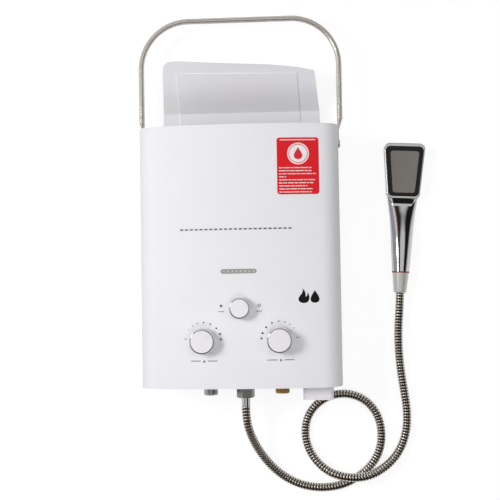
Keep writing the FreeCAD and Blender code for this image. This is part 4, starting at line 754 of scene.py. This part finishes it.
def pointer(name, knob, body, reach, top):
    """The raised line on a knob's face, at half past one at rest."""
    bm = bmesh.new()
    bmesh.ops.create_cube(bm, size=1)
    bmesh.ops.scale(bm, verts=bm.verts, vec=POINTER_SIZE)
    bmesh.ops.bevel(bm, geom=list(bm.edges), offset=POINTER_ROUND, segments=3, profile=0.5,
                    affect="EDGES", material=-1)
    bmesh.ops.translate(bm, verts=bm.verts, vec=(reach, 0, 0))
    rotate(bm, bm.verts, POINTER_TURN)
    bmesh.ops.translate(bm, verts=bm.verts, vec=(knob.x, knob.y, top))
    made = link_mesh(name, bm, FINISHES["white_plastic"], body)


BIG_REACH, SMALL_REACH = 10.4 * MM, 8.4 * MM        # from a knob's axis to the pointer's middle
for kind, knob, reach in (("gas", GAS_KNOB, BIG_REACH), ("water", WATER_KNOB, BIG_REACH),
                          ("season", SEASON_KNOB, SMALL_REACH)):
    pointer(kind + "_pointer", knob, kind + "_control", reach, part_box(kind + "_knob")[1][2])


# ---- Threads of the two inlets ----------------------------------------------------------
PORT_Z = 50 * MM
GAS_PORT_X, COLD_PORT_X = -50 * MM, 57 * MM
GAS_THREAD_Y = (-203.5 * MM, -192.5 * MM)
COLD_THREAD_Y = (-201.5 * MM, -190.5 * MM)
THREAD_PITCH, THREAD_STEPS = 1.814 * MM, 48
THREAD_RIDGE = ((10.2, -0.7), (10.8, 0.0), (10.2, 0.7))      # radius and height in mm


def thread(name, x, ends, slot):
    """The ridge of a pipe thread, wound round an inlet's end."""
    low, high = ends
    bm = bmesh.new()
    rows = []
    for k in range(int((high - low) / THREAD_PITCH * THREAD_STEPS) + 1):
        turn = k * 2 * math.pi / THREAD_STEPS
        y = low + k * THREAD_PITCH / THREAD_STEPS
        across, out = math.sin(turn) * MM, math.cos(turn) * MM
        rows.append([bm.verts.new((x + r * across, y + up * MM, PORT_Z + r * out))
                     for r, up in THREAD_RIDGE])
    for a, b in zip(rows, rows[1:]):
        for i in range(3):
            bm.faces.new((a[i - 1], a[i], b[i], b[i - 1]))
    bm.faces.new(rows[0])
    bm.faces.new(rows[-1])
    bmesh.ops.recalc_face_normals(bm, faces=bm.faces)
    link_mesh(name, bm, FINISHES[slot], smooth=40)


thread("gas_thread", GAS_PORT_X, GAS_THREAD_Y, "bright_steel")
thread("cold_thread", COLD_PORT_X, COLD_THREAD_Y, "brass_metal")


# ---- Jets of the spray plate ------------------------------------------------------------
SHOWER_TILT = math.radians(-2.9)
JET = ((0, 0.5), (0.35, 0.5), (0.5, 0.35), (0.7, 0.0), (0.0, 0.0))      # radius and height in mm
JET_ROWS, JET_PITCH = 14, 4.1 * MM
# From the plate's middle to its outer jets, in the lowest and the highest row.
JET_HALF_W = (13.5 * MM, 18.5 * MM)


def spray_jets():
    """Rows of small raised jets, spreading with the plate towards its wide end."""
    low, high = [Vector(corner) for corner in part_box("spray_plate")]
    bm = bmesh.new()
    for row in range(JET_ROWS):
        up = (row - (JET_ROWS - 1) / 2) * JET_PITCH
        reach = JET_HALF_W[0] + (JET_HALF_W[1] - JET_HALF_W[0]) * row / (JET_ROWS - 1)
        count = round(2 * reach / JET_PITCH) + 1
        for i in range(count):
            jet = spun([(r * MM, h * MM) for r, h in JET], 12)
            bmesh.ops.translate(jet, verts=jet.verts, vec=(reach * (2 * i / (count - 1) - 1), up, 0))
            loose = bpy.data.meshes.new("jet")
            jet.to_mesh(loose)
            jet.free()
            bm.from_mesh(loose)
            bpy.data.meshes.remove(loose)
    rotate(bm, bm.verts, SHOWER_TILT)
    middle = (low + high) / 2
    bmesh.ops.translate(bm, verts=bm.verts, vec=(middle.x, middle.y, high.z))
    link_mesh("spray_jets", bm, FINISHES["grey_plastic"], smooth=40)


spray_jets()


# ---- Floor, light and background --------------------------------------------------------
def any_path(nodes, *kinds):
    """One where the ray is of any of these kinds."""
    share = nodes.node("LightPath", output=kinds[0])
    for kind in kinds[1:]:
        share = share.sum("MAXIMUM", share, nodes.node("LightPath", output=kind))
    return share


FLOOR_SIZE, FLOOR_DROP = 4, 0.3 * MM
FLOOR_GLOW = 1.15
GLOW_SEEN, GLOW_MIRRORED = 0.75, 0.3      # shares of the glow that the camera and polish see


def white_floor():
    ground = Finish("white_floor", (0.8, 0.8, 0.8), 0.9)
    seen = any_path(ground, "Is Camera Ray", "Is Transmission Ray")
    polished = ground.node("LightPath", output="Is Glossy Ray")
    glow = ground.node("Emission", inputs={"Color": (1, 1, 1, 1), "Strength": FLOOR_GLOW})
    plain = Wire(ground, ground.shader.outputs[0])
    share = seen * GLOW_SEEN + polished * GLOW_MIRRORED
    both = ground.node("MixShader", inputs={0: share, 1: plain, 2: glow})
    ground.plug(ground.tree.nodes["Material Output"].inputs["Surface"], both)
    bm = bmesh.new()
    bmesh.ops.create_grid(bm, x_segments=1, y_segments=1, size=FLOOR_SIZE)
    bmesh.ops.translate(bm, verts=bm.verts, vec=(0, 0, -FLOOR_DROP))
    mesh = bpy.data.meshes.new("floor")
    bm.to_mesh(mesh)
    bm.free()
    mesh.materials.append(ground.material)
    floor = bpy.data.objects.new("floor", mesh)
    bpy.context.scene.collection.objects.link(floor)


# Name, place in metres, width of the disc, power, and whether polish mirrors it.
LAMPS = (
    ("left_lamp", (-0.92, 0.2, 1.28), 0.75, 10.4, False),
    ("spark_lamp", (-0.9, 0.22, 1.3), 0.38, 3.6, True),
    ("top_lamp", (0.2, 0.9, 1.9), 1.2, 4.8, False),
    ("low_lamp", (0.1, -0.9, 1.6), 0.9, 6.8, False),
    ("right_lamp", (1.1, 0.1, 1.5), 0.9, 5.6, False),
)
LAMP_AIM = Vector((0.05, -0.03, 0.05))


def lamps():
    for name, place, size, power, mirrored in LAMPS:
        data = bpy.data.lights.new(name, "AREA")
        data.shape, data.size, data.energy = "DISK", size, power
        lamp = bpy.data.objects.new(name, data)
        lamp.location = place
        lamp.rotation_euler = (LAMP_AIM - Vector(place)).to_track_quat("-Z", "Y").to_euler()
        lamp.visible_glossy = mirrored
        bpy.context.scene.collection.objects.link(lamp)


def surroundings():
    """A dim room for plain light; in polish, white walls on three sides, dark below, a glow overhead."""
    world = bpy.data.worlds.new("studio")
    bpy.context.scene.world = world
    world.use_nodes = True
    room = Nodes(world.node_tree)
    way = room.node("TexCoord", output="Generated")
    x, y, z = [room.node("SeparateXYZ", inputs={0: way}, output=letter) for letter in "XYZ"]
    walls = (z + x * 0.3).step(0.6, 0.74, 1, 0) * y.step(-0.45, -0.1)
    seam = abs(z - 0.3).step(0.02, 0.05)
    dark = room.mix(x.step(-0.5, 0.1), (0.06, 0.032, 0.02), (0.012, 0.011, 0.011))
    polish = room.mix(walls * seam, dark, (0.68, 0.68, 0.68))
    polish = room.mix((z + x * 0.14 + y * 0.02).step(0.9, 0.97), polish, (0.62, 0.61, 0.6))
    plain = room.mix(z.step(0.14, 0.24, 1, 0), (0.05, 0.043, 0.038), (0.6, 0.6, 0.6))
    polished = room.node("LightPath", output="Is Glossy Ray")
    room.plug(room.tree.nodes["Background"].inputs["Color"], room.mix(polished, plain, polish))


bpy.context.scene.view_settings.view_transform = "Standard"
white_floor()
lamps()
surroundings()
